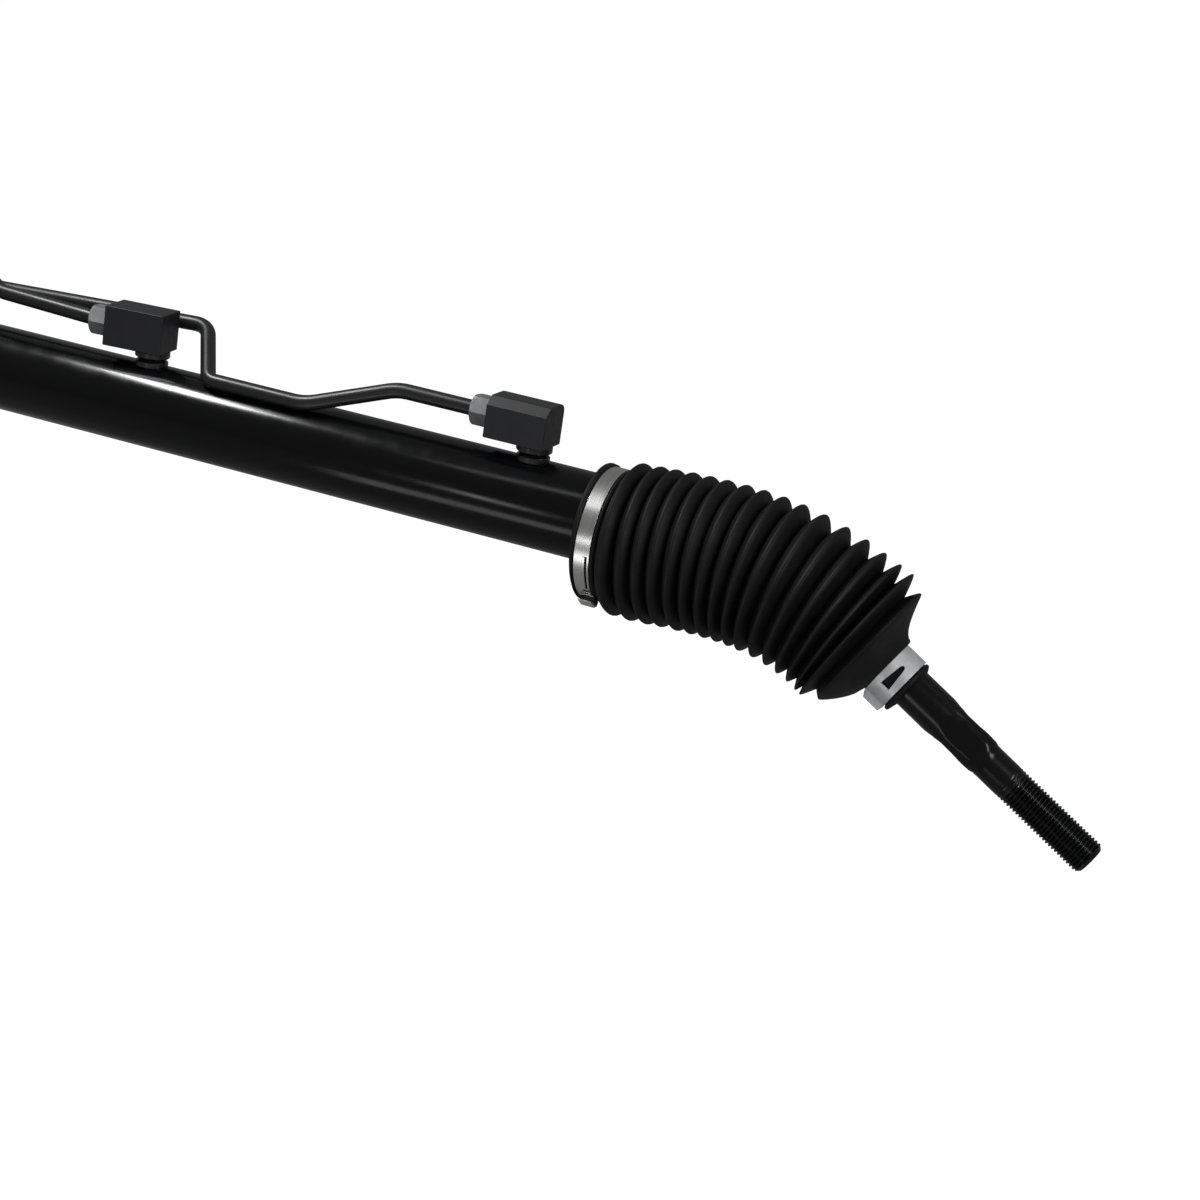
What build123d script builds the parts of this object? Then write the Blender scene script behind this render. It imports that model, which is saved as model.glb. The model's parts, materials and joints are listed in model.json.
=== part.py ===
from build123d import *
import math
import os

# Hydraulic steering rack, all lengths in millimetres and all angles in degrees.
# +X runs along the rack bar towards the end with the cylinder tube, +Z is up.
# The origin lies on the bar's axis, in the stretch of bare tube where the saddle clamp grips.

# Whole assembly
ball_right_x = 164.5          # centre of the right inner ball joint, bar centred
ball_span = 640.0             # between the two ball centres
mid_x = ball_right_x - ball_span / 2
travel = 57.0                 # of the bar, each way
droop = 31.0                  # of both tie rods below the bar's axis, at rest
running = 0.05                # radial gap of a turning or sliding fit
soft_gap = 0.3                # gap between rubber and what moves in it
overrun = 2.0                 # how far a cutting tool runs past the metal

# Cylinder tube
tube_od = 35.0
tube_wall = 2.0
tube_right_x = 90.0
tube_left_x = -262.0
port_inner_x = -118.0
port_outer_x = 56.0
port_hole = 8.0
tube_r = tube_od / 2
bore_r = tube_r - tube_wall
bush_left_x = 2 * mid_x - tube_right_x     # the left bush lies as far from the ball as the tube's end

# Rack bar and its teeth
bar_d = 22.0
bar_end_x = 147.5
bar_hole_d = 14.0
bar_hole_depth = 20.0
bar_chamfer = 1.0
module = 2.0
pressure_angle = 20.0
tooth_space_count = 23
tip_plane_y = 8.2
bar_r = bar_d / 2
pitch = math.pi * module

# Pinion
pinion_x = -300.0
pinion_teeth = 7
helix_angle = 20.0            # the shaft leans by the same angle, so the bar's teeth stand square
profile_shift = 0.55
backlash = 0.14
tip_radius = 10.0
root_gap = 0.5
pinion_face = 28.0            # length of the toothed stretch
transverse_module = module / math.cos(math.radians(helix_angle))
pitch_r = pinion_teeth * transverse_module / 2
transverse_angle = math.atan(
    math.tan(math.radians(pressure_angle)) / math.cos(math.radians(helix_angle))
)
base_r = pitch_r * math.cos(transverse_angle)
datum_distance = pitch_r + profile_shift * module
root_r = datum_distance - module - root_gap
pinion_y = tip_plane_y + datum_distance - module
tooth_root_y = pinion_y - tip_radius - root_gap
shaft_place = Pos(pinion_x, pinion_y, 0) * Rot(0, helix_angle, 0)

# Piston and its seals
chamber_x = (port_inner_x + port_outer_x) / 2
piston_width = 16.0
piston_gap = 0.4
ring_width = 4.0
ring_depth = 2.2
clip_width = 1.6
clip_depth = 0.8
clip_height = 1.4
seal_width = 7.0
seal_offset = 8.0             # from a port's centre to the seal beside it
end_bush_gap = 1.0
inner_carrier_length = 14.0
left_bush_length = 16.0
left_bush_wall = 3.0

# Bellows, the same at both ends
crest_count = 17
crest_r = 30.0
valley_r = 25.0
last_crest_r = 27.0
seat_drop = 4.84              # the seat's centre lies this far below the bar's axis
seat_r = 23.1
cuff_r = 25.3
cuff_lip_r = 26.3
cuff_left_x = 86.5
clamp_left_x = 88.4
clamp_width = 6.5
clamp_thickness = 0.8
clamp_gap = 0.1               # round the band in its groove
cuff_lip_width = 1.6
first_crest_x = 100.2
first_valley_x = 97.0
bend_handle_near = 58.0
bend_handle_far = 40.0
bell_start = 44.0             # distances from the ball centre along the tie rod
neck_start = 51.5
neck_end = 64.0
neck_lip = 1.6
neck_r = 10.5
neck_lip_r = 11.4
neck_drop = 1.1               # of the neck's centre below the tie rod's axis
bellows_wall = 1.5
bell_shares = [(0.35, 0.55), (0.7, 0.15), (1.0, 0.0)]    # along the bell, and out from the neck
room_shares = [0.2, 0.4, 0.6, 0.8]
clamp_ear_width = 5.0
clamp_ear_length = 9.0
clamp_ear_height = 2.6
clamp_ear_turn = -40.0        # of the ear from the lowest point, towards the front
small_clamp_start = 52.6
small_clamp_width = 9.3
small_clamp_thickness = 0.8
window_turn = 46.5            # of the window's narrow end from the top, towards the front
window_span = 51.0            # round the band, to its wide end
window_narrow = 1.7
window_wide = 4.0
ear_turn = 155.0              # of the small clamp's ear from the top, towards the front
ear_rise = 2.3                # above the band
ear_foot_arc = 6.4
ear_crown_arc = 4.6
ear_crown_run = 6.9           # along the rod; its foot is as wide as the band

# Seat collar at the end of the tube
collar_set_back = 0.3         # from the end of the bellows' cuff
collar_right_x = 98.2

# Tie rod and inner ball joint
ball_d = 24.0
rod_neck_d = 11.0
rod_neck_length = 30.0
rod_d = 16.2
rod_taper = 8.0
flats_start = 81.0
flats_end = 100.0
flats_across = 14.4
flats_count = 4
flats_bulge_d = 17.0
flats_angle = 68.0            # of one flat's normal from the top, towards the front
shank_d = 13.6                # tapers to the thread's blank
shank_start = 103.0
thread_blank_d = 13.1
thread_d = 14.0
thread_start = 113.0
rod_end = 155.5
rod_end_chamfer = 1.6
socket_d = 31.0
socket_back = 15.0
socket_front = 7.6
socket_nose_d = 27.0
socket_nose_start = -1.0
socket_flat_across = 28.6
socket_flat_length = 8.0
liner_gap = 1.55              # between the ball and the wall of its cup
liner_thickness = 1.4
liner_edge_x = -2.6
rim_x = 5.6
rim_r = 10.7
mouth_r = 12.1
stud_length = 16.0
washer_d = 29.0
washer_thickness = 2.0

# Port blocks and the unions below them
block_length = 25.7
block_width = 17.4
block_bottom_z = 23.1
block_top_z = 39.7
block_union_offset = 6.0      # from the block's middle to its union
block_turn = 8.0              # the inner block is turned on its union
block_chamfer_y = 4.1
block_chamfer_z = 3.5
block_round = 3.5
passage_d = 4.0
union_spigot_d = 10.0
union_spigot_length = 9.5
union_collar_d = 14.4
union_collar_length = 2.7
union_waist_d = 10.6
union_foot_d = 13.4
union_set_up = 0.1            # of the union's end above the bore
ring_groove_z = 27.0
ring_groove_width = 1.8
ring_groove_r = 4.1
port_axis_z = 31.4

# Pipes and their nuts
pipe_d = 6.0
pipe_wall = 1.0
pipe_seat_depth = 8.0         # of the pipe's end inside a port
pipe_bend_r = 8.0
nut_across = 11.4
nut_hex_length = 10.6
nut_gland_d = 10.0
nut_gland_length = 9.0
nut_bevel = 1.4
pipe_back_y = 14.0
pipe_front_y = -9.0
pipe_rise_z = 35.1
pipe_low_z = 18.9
pipe_fall_x = -103.2
pipe_low_x = -87.0
pipe_lift_x = -41.0
saddle_room_x = -5.0
pipe_far_x = -202.0
pipe_outer_far_y = 12.0
pipe_outer_far_z = 30.5
pipe_inner_far_y = -5.0
pipe_inner_far_z = 33.3
pipe_inner_far_x = -200.0
pipe_nut_run = 22.0           # straight stretch outside a block
pipe_tower_run = 21.0         # straight stretch outside a port of the tower

# Pinion housing
housing_right_x = -240.0
barrel_r = 20.5
rack_room_r = 12.3
tower_low_r = 18.5
tower_top_r = 20.5
tower_low_h = -45.0
tower_step_h = 27.0
tower_top_h = 88.0
yoke_boss_r = 17.5
yoke_boss_y = -44.0
lug_x_near = 42.0             # from the pinion to each lug, along the bar
lug_x_far = 62.0
lug_y = -36.0
lug_r = 13.5
lug_height = 26.0
lug_web = 12.0
lug_web_r = 10.0
lug_web_root_r = 18.0
lug_bush_r = 10.5
lug_sleeve_r = 7.6
lug_sleeve_bore_r = 5.25
lug_sleeve_stand = 1.5
line_port_h_outer = 50.0
line_port_h_inner = 68.0
supply_h_pressure = 48.0
supply_h_return = 69.0
supply_turn = 150.0           # of the supply ports round the tower from the cylinder ports
line_boss_reach = 25.0
line_boss_r = 9.6
supply_boss_reach = 29.0
supply_boss_r = 11.5
supply_port_r = 7.25
supply_port_depth = 11.0
pinion_room_r = 10.8
cap_r = 14.0
clip_h = 83.0

# Shafts inside the tower, heights measured along the pinion's axis
bearing_low_h = -26.0
bearing_low_width = 9.0
bearing_low_r = 13.0
bearing_top_h = 17.0
bearing_top_width = 8.0
bearing_top_r = 15.0
journal_low_r = 5.0
journal_top_r = 9.0
pinion_low_h = -37.0
pinion_top_h = 38.0
pinion_head_r = 10.0
pinion_nut_across = 15.0
pinion_nut_height = 6.0
cap_height = 6.0
cap_hex_across = 14.0
cap_hex_depth = 3.0
sleeve_grip = 6.0             # of the sleeve round the pinion's head
sleeve_low_h = pinion_top_h - sleeve_grip
sleeve_top_h = 74.0
sleeve_r = 14.6
valve_bore_r = 15.2
sleeve_ring_width = 1.8
sleeve_ring_depth = 1.6
sleeve_ring_count = 4
valve_r = 8.6
input_r = 8.0
input_spigot_length = 12.0    # inside the pinion's head
input_low_h = pinion_top_h - input_spigot_length
input_spigot_r = 6.0
input_top_h = 122.0
spline_low_h = 98.0
spline_r = 7.8
spline_groove_h = 112.0
spline_groove_depth = 1.2
torsion_r = 2.2
torsion_head_r = 2.95
torsion_head_length = 12.0
torsion_low_h = 12.0
torsion_top_h = 108.0
pin_r = 1.5
pin_set_back = 0.5
top_pin_r = 1.2
top_pin_gap = 0.4             # room for the twist
input_step_gap = 0.5
spline_groove_width = 5.0
pinion_nut_h = -34.0
seal_low_h = 76.0
seal_height = 6.0
clip_ring_height = 1.5
clip_ring_reach = 1.2
boot_height = 9.0
boot_r = 19.0
boot_wall = 1.6

# Rack support yoke
yoke_r = 12.0
yoke_start = 5.0              # from the bar's axis
yoke_length = 19.0
plug_r = 13.0
plug_stand = 1.0
spring_hole_r = 4.0
flank_shares = [0.0, 0.2, 0.45, 0.7, 1.0]
yoke_liner_thickness = 1.0
yoke_liner_set_back = 2.0     # of the liner's edges from the yoke's
yoke_spring_room = 4.0
yoke_spring_r = 8.0
yoke_spring_wire = 1.4
yoke_plug_hex_across = 17.0
yoke_plug_hex_depth = 5.0
lock_nut_across = 36.0
lock_nut_width = 6.0

def turned(points):
    """Solid of revolution about X from (x, radius) points."""
    return revolve(make_face(Polyline(*points, close=True)), axis=Axis.X)


def turned_z(points):
    """Solid of revolution about Z from (radius, height) points."""
    return revolve(Plane.XZ * make_face(Polyline(*points, close=True)), axis=Axis.Z)


def ring_x(x0, x1, outer, inner):
    """Plain ring about the bar's axis."""
    return turned([(x0, inner), (x1, inner), (x1, outer), (x0, outer)])


def ring_z(h0, h1, outer, inner=0.0):
    """Plain ring or disc about Z, from height h0 to h1."""
    body = Pos(0, 0, (h0 + h1) / 2) * Cylinder(outer, h1 - h0)
    if inner:
        body -= Pos(0, 0, (h0 + h1) / 2) * Cylinder(inner, h1 - h0 + 2 * overrun)
    return body


def hexagon(across, height):
    """Hexagonal prism that stands on the XY plane."""
    return extrude(RegularPolygon(across / math.sqrt(3), 6), height)


def other_end(shape):
    """The same piece at the left end of the rack."""
    return mirror(shape, about=Plane.YZ.offset(mid_x))


def on_rod(shape):
    """Places a piece drawn along X from the ball centre on the drooping right tie rod."""
    return Pos(ball_right_x, 0, 0) * Rot(0, droop, 0) * shape


def save(name, *shapes):
    """Writes one named sub-part, as one solid or as a group of separate solids."""
    solids = [solid for shape in shapes for solid in shape.solids()]
    body = solids[0] if len(solids) == 1 else Compound(children=solids)
    body.label = name
    export_step(body, f"parts/{name}.step")


# Cylinder tube and the pieces inside it

def cylinder_tube():
    tube = ring_x(tube_left_x, tube_right_x, tube_r, bore_r)
    for x in (port_inner_x, port_outer_x):
        tube -= Pos(x, 0, tube_r) * Cylinder(port_hole / 2, tube_r)
    return tube


def rack_end_bush():
    seal_end = port_outer_x + seal_offset + seal_width
    return ring_x(seal_end + end_bush_gap, tube_right_x, bore_r, bar_r + running)


def outer_seal():
    start = port_outer_x + seal_offset
    return ring_x(start, start + seal_width, bore_r, bar_r + running)


def inner_seal():
    end = port_inner_x - seal_offset
    return ring_x(end - seal_width, end, bore_r, bar_r + running)


def inner_seal_carrier():
    end = port_inner_x - seal_offset - seal_width
    return ring_x(end - inner_carrier_length, end, bore_r, bar_r + running)


def left_rack_bush():
    return ring_x(bush_left_x, bush_left_x + left_bush_length, bar_r + left_bush_wall, bar_r + running)


# Rack bar, with straight teeth cut across a flat, and the piston on it

def tooth_space():
    """One gap between two teeth, cut across the bar."""
    slope = math.tan(math.radians(pressure_angle))
    datum_y = tip_plane_y - module
    top_y = tip_plane_y + overrun
    top_half = pitch / 4 + (top_y - datum_y) * slope
    low_half = pitch / 4 - (datum_y - tooth_root_y) * slope
    outline = Polyline(
        (-low_half, tooth_root_y), (low_half, tooth_root_y), (top_half, top_y), (-top_half, top_y), close=True
    )
    return extrude(make_face(outline), bar_r + overrun, both=True)


def rack_bar():
    left_x = 2 * mid_x - bar_end_x
    bar = turned([
        (left_x, 0), (bar_end_x, 0), (bar_end_x, bar_r - bar_chamfer),
        (bar_end_x - bar_chamfer, bar_r), (left_x + bar_chamfer, bar_r), (left_x, bar_r - bar_chamfer),
    ])
    toothed = (tooth_space_count + 1) * pitch
    flat_depth = bar_r - tip_plane_y
    bar -= Pos(pinion_x, tip_plane_y + flat_depth / 2 + overrun / 2, 0) * Box(
        toothed, flat_depth + overrun, 2 * bar_r
    )
    space = tooth_space()
    half = (tooth_space_count - 1) / 2
    bar -= [Pos(pinion_x + (i - half) * pitch, 0, 0) * space for i in range(tooth_space_count)]
    for x, side in ((bar_end_x, -1), (left_x, 1)):
        bar -= Pos(x + side * bar_hole_depth / 2, 0, 0) * Rot(0, 90, 0) * Cylinder(
            bar_hole_d / 2, bar_hole_depth
        )
    for side in (-1, 1):
        middle = chamber_x + side * (piston_width + clip_width) / 2
        bar -= ring_x(middle - clip_width / 2, middle + clip_width / 2, bar_r + overrun, bar_r - clip_depth)
    return bar


def piston():
    half = piston_width / 2
    groove_r = bore_r - ring_depth
    body = ring_x(chamber_x - half, chamber_x + half, bore_r - piston_gap, bar_r)
    return body - ring_x(chamber_x - ring_width / 2, chamber_x + ring_width / 2, bore_r, groove_r)


def piston_ring():
    return ring_x(
        chamber_x - ring_width / 2, chamber_x + ring_width / 2, bore_r - running, bore_r - ring_depth
    )


def piston_clips():
    clips = []
    for side in (-1, 1):
        middle = chamber_x + side * (piston_width + clip_width) / 2
        clips.append(ring_x(
            middle - clip_width / 2, middle + clip_width / 2, bar_r + clip_height, bar_r - clip_depth
        ))
    return clips


# Inner ball joint, drawn about the ball centre with the tie rod along X

def cup(radius, open_x):
    """Ball about the joint's centre, cut off square towards the rod."""
    return Sphere(radius) - Pos(open_x + radius, 0, 0) * Box(2 * radius, 2 * radius, 2 * radius)


def ball_socket():
    body = turned([
        (-socket_back, 0), (-socket_back, socket_d / 2 - bar_chamfer),
        (-socket_back + bar_chamfer, socket_d / 2), (socket_nose_start, socket_d / 2),
        (socket_front, socket_nose_d / 2), (socket_front, 0),
    ])
    body -= cup(ball_d / 2 + liner_gap, rim_x)
    body -= turned([
        (rim_x - overrun, 0), (rim_x - overrun, rim_r), (rim_x, rim_r),
        (socket_front, mouth_r), (socket_front + overrun, mouth_r), (socket_front + overrun, 0),
    ])
    for side in (-1, 1):
        depth = (socket_d - socket_flat_across) / 2
        body -= Pos(
            -socket_back + socket_flat_length / 2, side * (socket_flat_across / 2 + depth), 0
        ) * Box(socket_flat_length, 2 * depth, socket_d)
    stud_end = -socket_back - washer_thickness - stud_length
    return body + ring_x(stud_end, -socket_back, bar_hole_d / 2, 0)


def lock_washer():
    return ring_x(-socket_back - washer_thickness, -socket_back, washer_d / 2, bar_hole_d / 2)


def seat_liner():
    """Plastic cup behind the ball, which turns with the ball joint's first axis."""
    inner_r = ball_d / 2 + running
    return cup(inner_r + liner_thickness, liner_edge_x) - Sphere(inner_r)


def tie_rod():
    ball_r = ball_d / 2
    neck_start_x = math.sqrt(ball_r ** 2 - (rod_neck_d / 2) ** 2)
    shaft = make_face(Polyline(
        (0, 0), (0, rod_neck_d / 2), (rod_neck_length, rod_neck_d / 2),
        (rod_neck_length + rod_taper, rod_d / 2), (flats_start, rod_d / 2),
        (flats_start + (flats_end - flats_start) / 3, flats_bulge_d / 2),
        (flats_end, flats_bulge_d / 2), (shank_start, shank_d / 2),
        (thread_start, thread_blank_d / 2), (thread_start, thread_d / 2),
        (rod_end - rod_end_chamfer, thread_d / 2),
        (rod_end, thread_d / 2 - rod_end_chamfer), (rod_end, 0), close=True,
    ))
    rod = revolve(shaft, axis=Axis.X) + Sphere(ball_r)
    depth = (flats_bulge_d - flats_across) / 2
    cut = Pos((flats_start + flats_end) / 2, 0, flats_across / 2 + depth) * Box(
        flats_end - flats_start, flats_bulge_d, 2 * depth
    )
    return rod - [Rot(flats_angle + 360 * i / flats_count, 0, 0) * cut for i in range(flats_count)]


# Bellows, its seat and its two clamps

def rod_way():
    """Direction of the right tie rod at rest."""
    return Vector(math.cos(math.radians(droop)), 0, -math.sin(math.radians(droop)))


def hoop(place, way, radius):
    """Circle square to a direction."""
    return Wire.make_circle(radius, Plane(origin=place, x_dir=Vector(0, 1, 0), z_dir=way))


def seat_hoop(x, radius):
    return hoop(Vector(x, 0, -seat_drop), Vector(1, 0, 0), radius)


def rod_hoop(distance, radius, drop=0.0):
    below = Vector(math.sin(math.radians(droop)), 0, math.cos(math.radians(droop))) * -drop
    return hoop(Vector(ball_right_x, 0, 0) + rod_way() * distance + below, rod_way(), radius)


def centre_line():
    """Curve through the middles of the folds, from the first crest to the last."""
    start = Vector(first_crest_x, 0, -seat_drop)
    end = Vector(ball_right_x, 0, 0) + rod_way() * bell_start
    return Bezier(
        start, start + Vector(1, 0, 0) * bend_handle_near, end - rod_way() * bend_handle_far, end
    )


def fold_hoops(line):
    """Valley and crest circles along the centre line."""
    hoops = [seat_hoop(first_valley_x, valley_r)]
    for i in range(crest_count):
        last = i == crest_count - 1
        share = i / (crest_count - 1)
        hoops.append(hoop(line @ share, line % share, last_crest_r if last else crest_r))
        if not last:
            share = (i + 1 / 2) / (crest_count - 1)
            hoops.append(hoop(line @ share, line % share, valley_r))
    return hoops


def bellows():
    line = centre_line()
    folds = fold_hoops(line)
    for along, out in bell_shares:
        distance = bell_start + (neck_start - bell_start) * along
        folds.append(rod_hoop(distance, neck_r + (last_crest_r - neck_r) * out, neck_drop * along))
    body = Solid.make_loft(folds, ruled=True)
    clamp_right_x = clamp_left_x + clamp_width
    cuff = turned([
        (cuff_left_x, 0), (cuff_left_x, cuff_lip_r), (clamp_left_x, cuff_lip_r), (clamp_left_x, cuff_r),
        (clamp_right_x, cuff_r), (clamp_right_x, cuff_lip_r),
        (first_valley_x - cuff_lip_width / 2, cuff_lip_r), (first_valley_x, valley_r), (first_valley_x, 0),
    ])
    neck = turned([
        (neck_start, 0), (neck_start, neck_r), (neck_end - neck_lip, neck_r),
        (neck_end - neck_lip, neck_lip_r), (neck_end, neck_lip_r), (neck_end, 0),
    ])
    body = body + Pos(0, 0, -seat_drop) * cuff + on_rod(Pos(0, 0, -neck_drop) * neck)
    room_r = valley_r - bellows_wall
    room = [seat_hoop(cuff_left_x - overrun, seat_r), seat_hoop(collar_right_x + soft_gap, seat_r)]
    room += [hoop(line @ share, line % share, room_r) for share in room_shares]
    room += [
        rod_hoop(bell_start, last_crest_r - bellows_wall),
        rod_hoop(neck_start - bellows_wall, rod_d / 2 + soft_gap),
        rod_hoop(neck_end + overrun, rod_d / 2 + soft_gap),
    ]
    return body - Solid.make_loft(room, ruled=True)


def large_clamp():
    """Steel band with its folded ear at the front, below the middle."""
    inner = cuff_r + clamp_gap
    band = ring_x(
        clamp_left_x + clamp_gap, clamp_left_x + clamp_width - clamp_gap, inner + clamp_thickness, inner
    )
    ear = Pos(clamp_left_x + clamp_width / 2, 0, -inner - clamp_thickness - clamp_ear_height / 2) * Box(
        clamp_ear_width, clamp_ear_length, clamp_ear_height + clamp_thickness
    )
    ear -= ring_x(clamp_left_x, clamp_left_x + clamp_width, inner, 0)
    return Pos(0, 0, -seat_drop) * Rot(clamp_ear_turn, 0, 0) * (band + ear)


def clamp_window(outer):
    """Tapered cutter for the small clamp's window, with its narrow end towards the back."""
    length = math.radians(window_span) * outer
    outline = Polyline(
        (-window_narrow / 2, length / 2), (window_narrow / 2, length / 2),
        (window_wide / 2, -length / 2), (-window_wide / 2, -length / 2), close=True,
    )
    return extrude(make_face(outline), outer + overrun)


def clamp_ear(inner, outer):
    """Raised ear of the small clamp, and the cutter that hollows it and opens the band below."""
    foot = Plane.XY.offset(inner) * Rectangle(small_clamp_width, ear_foot_arc)
    crown = Plane.XY.offset(outer + ear_rise) * Rectangle(ear_crown_run, ear_crown_arc)
    thickness = small_clamp_thickness
    hollow = Polyline(
        (-ear_foot_arc / 2 + thickness, 0), (-ear_foot_arc / 2 + thickness, inner),
        (-ear_crown_arc / 2 + thickness, outer + ear_rise - thickness),
        (ear_crown_arc / 2 - thickness, outer + ear_rise - thickness),
        (ear_foot_arc / 2 - thickness, inner), (ear_foot_arc / 2 - thickness, 0), close=True,
    )
    return loft([foot, crown]), extrude(Plane.YZ * make_face(hollow), small_clamp_width, both=True)


def small_clamp():
    """One-ear band round the neck, with a tapered window at the front."""
    inner = neck_r + soft_gap
    outer = inner + small_clamp_thickness
    end = small_clamp_start + small_clamp_width
    ear, hollow = clamp_ear(inner, outer)
    middle = Pos((small_clamp_start + end) / 2, 0, 0)
    at_ear = middle * Rot(ear_turn, 0, 0)
    band = ring_x(small_clamp_start, end, outer, inner) + at_ear * ear - at_ear * hollow
    band -= middle * Rot(window_turn + window_span / 2, 0, 0) * clamp_window(outer)
    return on_rod(Pos(0, 0, -neck_drop) * band)


def seat_collar():
    start = cuff_left_x + collar_set_back
    collar = Pos(0, 0, -seat_drop) * ring_x(start, collar_right_x, seat_r, 0)
    return collar - ring_x(start - overrun, collar_right_x + overrun, tube_r, 0)


# Port blocks, unions, pipes and nuts

def block_place(port_x, turn):
    return Pos(port_x, 0, 0) * Rot(0, 0, turn)


def port_block(chamfered):
    """Block over a port, drawn with its union at the origin."""
    half = block_width / 2
    outline = [(-half, block_bottom_z), (half, block_bottom_z), (half, block_top_z)]
    if chamfered:
        outline += [(block_chamfer_y - half, block_top_z), (-half, block_top_z - block_chamfer_z)]
    else:
        outline.append((-half, block_top_z))
    face = make_face(Polyline(*outline, close=True))
    if chamfered:
        corner = face.vertices().sort_by(Axis.X)[-2:].sort_by(Axis.Y)[-1]
        face = fillet(corner, block_round)
    middle_x = -block_union_offset
    body = Pos(middle_x - block_length / 2, 0, 0) * extrude(Plane.YZ * face, block_length, dir=(1, 0, 0))
    left_x = middle_x - block_length / 2
    spigot_top = block_bottom_z + union_spigot_length
    body -= ring_z(block_bottom_z - overrun, spigot_top, union_spigot_d / 2)
    body -= Pos(left_x - overrun, 0, port_axis_z) * Rot(0, 90, 0) * ring_z(
        0, nut_gland_length + overrun, nut_gland_d / 2
    )
    body -= Pos(left_x, 0, port_axis_z) * Rot(0, 90, 0) * ring_z(0, -left_x, passage_d / 2)
    return body


def union(port_x, turn):
    """Hollow union between the tube wall and the block above it."""
    collar_low = block_bottom_z - union_collar_length
    spigot_top = block_bottom_z + union_spigot_length
    foot_top = tube_r + (collar_low - tube_r) / 2
    body = ring_z(bore_r + union_set_up, spigot_top, port_hole / 2)
    body += ring_z(bore_r, foot_top, union_foot_d / 2)
    body += ring_z(foot_top, collar_low, union_waist_d / 2)
    body += ring_z(collar_low, block_bottom_z, union_collar_d / 2)
    body += ring_z(block_bottom_z, spigot_top, union_spigot_d / 2)
    tube = Rot(0, 0, -turn) * ring_x(-union_foot_d, union_foot_d, tube_r, 0)
    body -= tube - ring_z(0, tube_r + overrun, port_hole / 2)
    body -= ring_z(0, port_axis_z, passage_d / 2)
    body -= Pos(0, 0, port_axis_z) * Rot(0, 90, 0) * ring_z(-union_spigot_d, 0, passage_d / 2)
    body -= ring_z(ring_groove_z, ring_groove_z + ring_groove_width, union_spigot_d, ring_groove_r)
    return block_place(port_x, turn) * body


def union_ring(port_x):
    return Pos(port_x, 0, 0) * ring_z(
        ring_groove_z, ring_groove_z + ring_groove_width, union_spigot_d / 2, ring_groove_r
    )


def pipe_nut():
    """Nut drawn with the block's face at the origin and the pipe leaving along -X."""
    nut = Rot(0, -90, 0) * hexagon(nut_across, nut_hex_length)
    corner_r = nut_across / math.sqrt(3)
    nut &= turned([
        (0, 0), (0, corner_r), (nut_bevel - nut_hex_length, corner_r),
        (-nut_hex_length, corner_r - nut_bevel), (-nut_hex_length, 0),
    ])
    nut += ring_x(0, nut_gland_length - running, nut_gland_d / 2, 0)
    return nut - ring_x(-nut_hex_length - overrun, nut_gland_length + overrun, pipe_d / 2, 0)


def block_face(port_x, turn):
    """Place of a block's port: its face centre, with the block's own directions."""
    left_x = -block_union_offset - block_length / 2
    return block_place(port_x, turn) * Pos(left_x, 0, port_axis_z)


def tower_face(height):
    """Place of one of the tower's cylinder ports, with -X pointing out of it."""
    return shaft_place * Pos(line_boss_reach, 0, height) * Rot(0, 0, 180)


def along(place, run):
    """Point on the axis of a port, a run outside its face."""
    return (place * Pos(-run, 0, 0)).position


def pipe(points):
    """Steel pipe along straight runs joined by tangent bends."""
    line = FilletPolyline(*points, radius=pipe_bend_r)
    start = Plane(origin=line @ 0, z_dir=line % 0)
    outer = sweep(start * Circle(pipe_d / 2), path=line)
    return outer - sweep(start * Circle(pipe_d / 2 - pipe_wall), path=line)


def pipe_outer():
    block, tower = block_face(port_outer_x, 0), tower_face(line_port_h_outer)
    return pipe([
        along(block, -pipe_seat_depth), (saddle_room_x, 0, port_axis_z),
        (pipe_lift_x, pipe_front_y, pipe_low_z), (pipe_low_x, pipe_front_y, pipe_low_z),
        (pipe_fall_x, pipe_back_y, pipe_rise_z), (pipe_far_x, pipe_outer_far_y, pipe_outer_far_z),
        along(tower, pipe_tower_run), along(tower, -pipe_seat_depth),
    ])


def pipe_inner():
    block, tower = block_face(port_inner_x, block_turn), tower_face(line_port_h_inner)
    return pipe([
        along(block, -pipe_seat_depth), along(block, pipe_nut_run),
        (pipe_inner_far_x, pipe_inner_far_y, pipe_inner_far_z),
        along(tower, pipe_tower_run), along(tower, -pipe_seat_depth),
    ])


# Pinion housing, with the tower for the pinion and the valve

def lug_places():
    return [Pos(pinion_x + lug_x_near, lug_y, 0), Pos(pinion_x - lug_x_far, lug_y, 0)]


def yoke_place():
    """Along the yoke's axis, which points away from the pinion."""
    return Pos(pinion_x, 0, 0) * Rot(90, 0, 0)


def tower_port(height, turn):
    """Axis of a port of the upright tower, with Z pointing out of it."""
    return Pos(0, 0, height) * Rot(0, 0, turn) * Rot(0, 90, 0)


def line_ports():
    return [tower_port(line_port_h_outer, 0), tower_port(line_port_h_inner, 0)]


def supply_ports():
    return [tower_port(supply_h_pressure, supply_turn), tower_port(supply_h_return, supply_turn)]


def tower_outside():
    """Tower with its four port bosses, drawn upright."""
    body = turned_z([
        (0, tower_low_h), (tower_low_r, tower_low_h), (tower_low_r, tower_step_h),
        (tower_top_r, tower_step_h + tower_top_r - tower_low_r), (tower_top_r, tower_top_h), (0, tower_top_h),
    ])
    for place in supply_ports():
        body += place * ring_z(0, supply_boss_reach, supply_boss_r)
    for place in line_ports():
        body += place * ring_z(0, line_boss_reach, line_boss_r)
    return body


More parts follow.
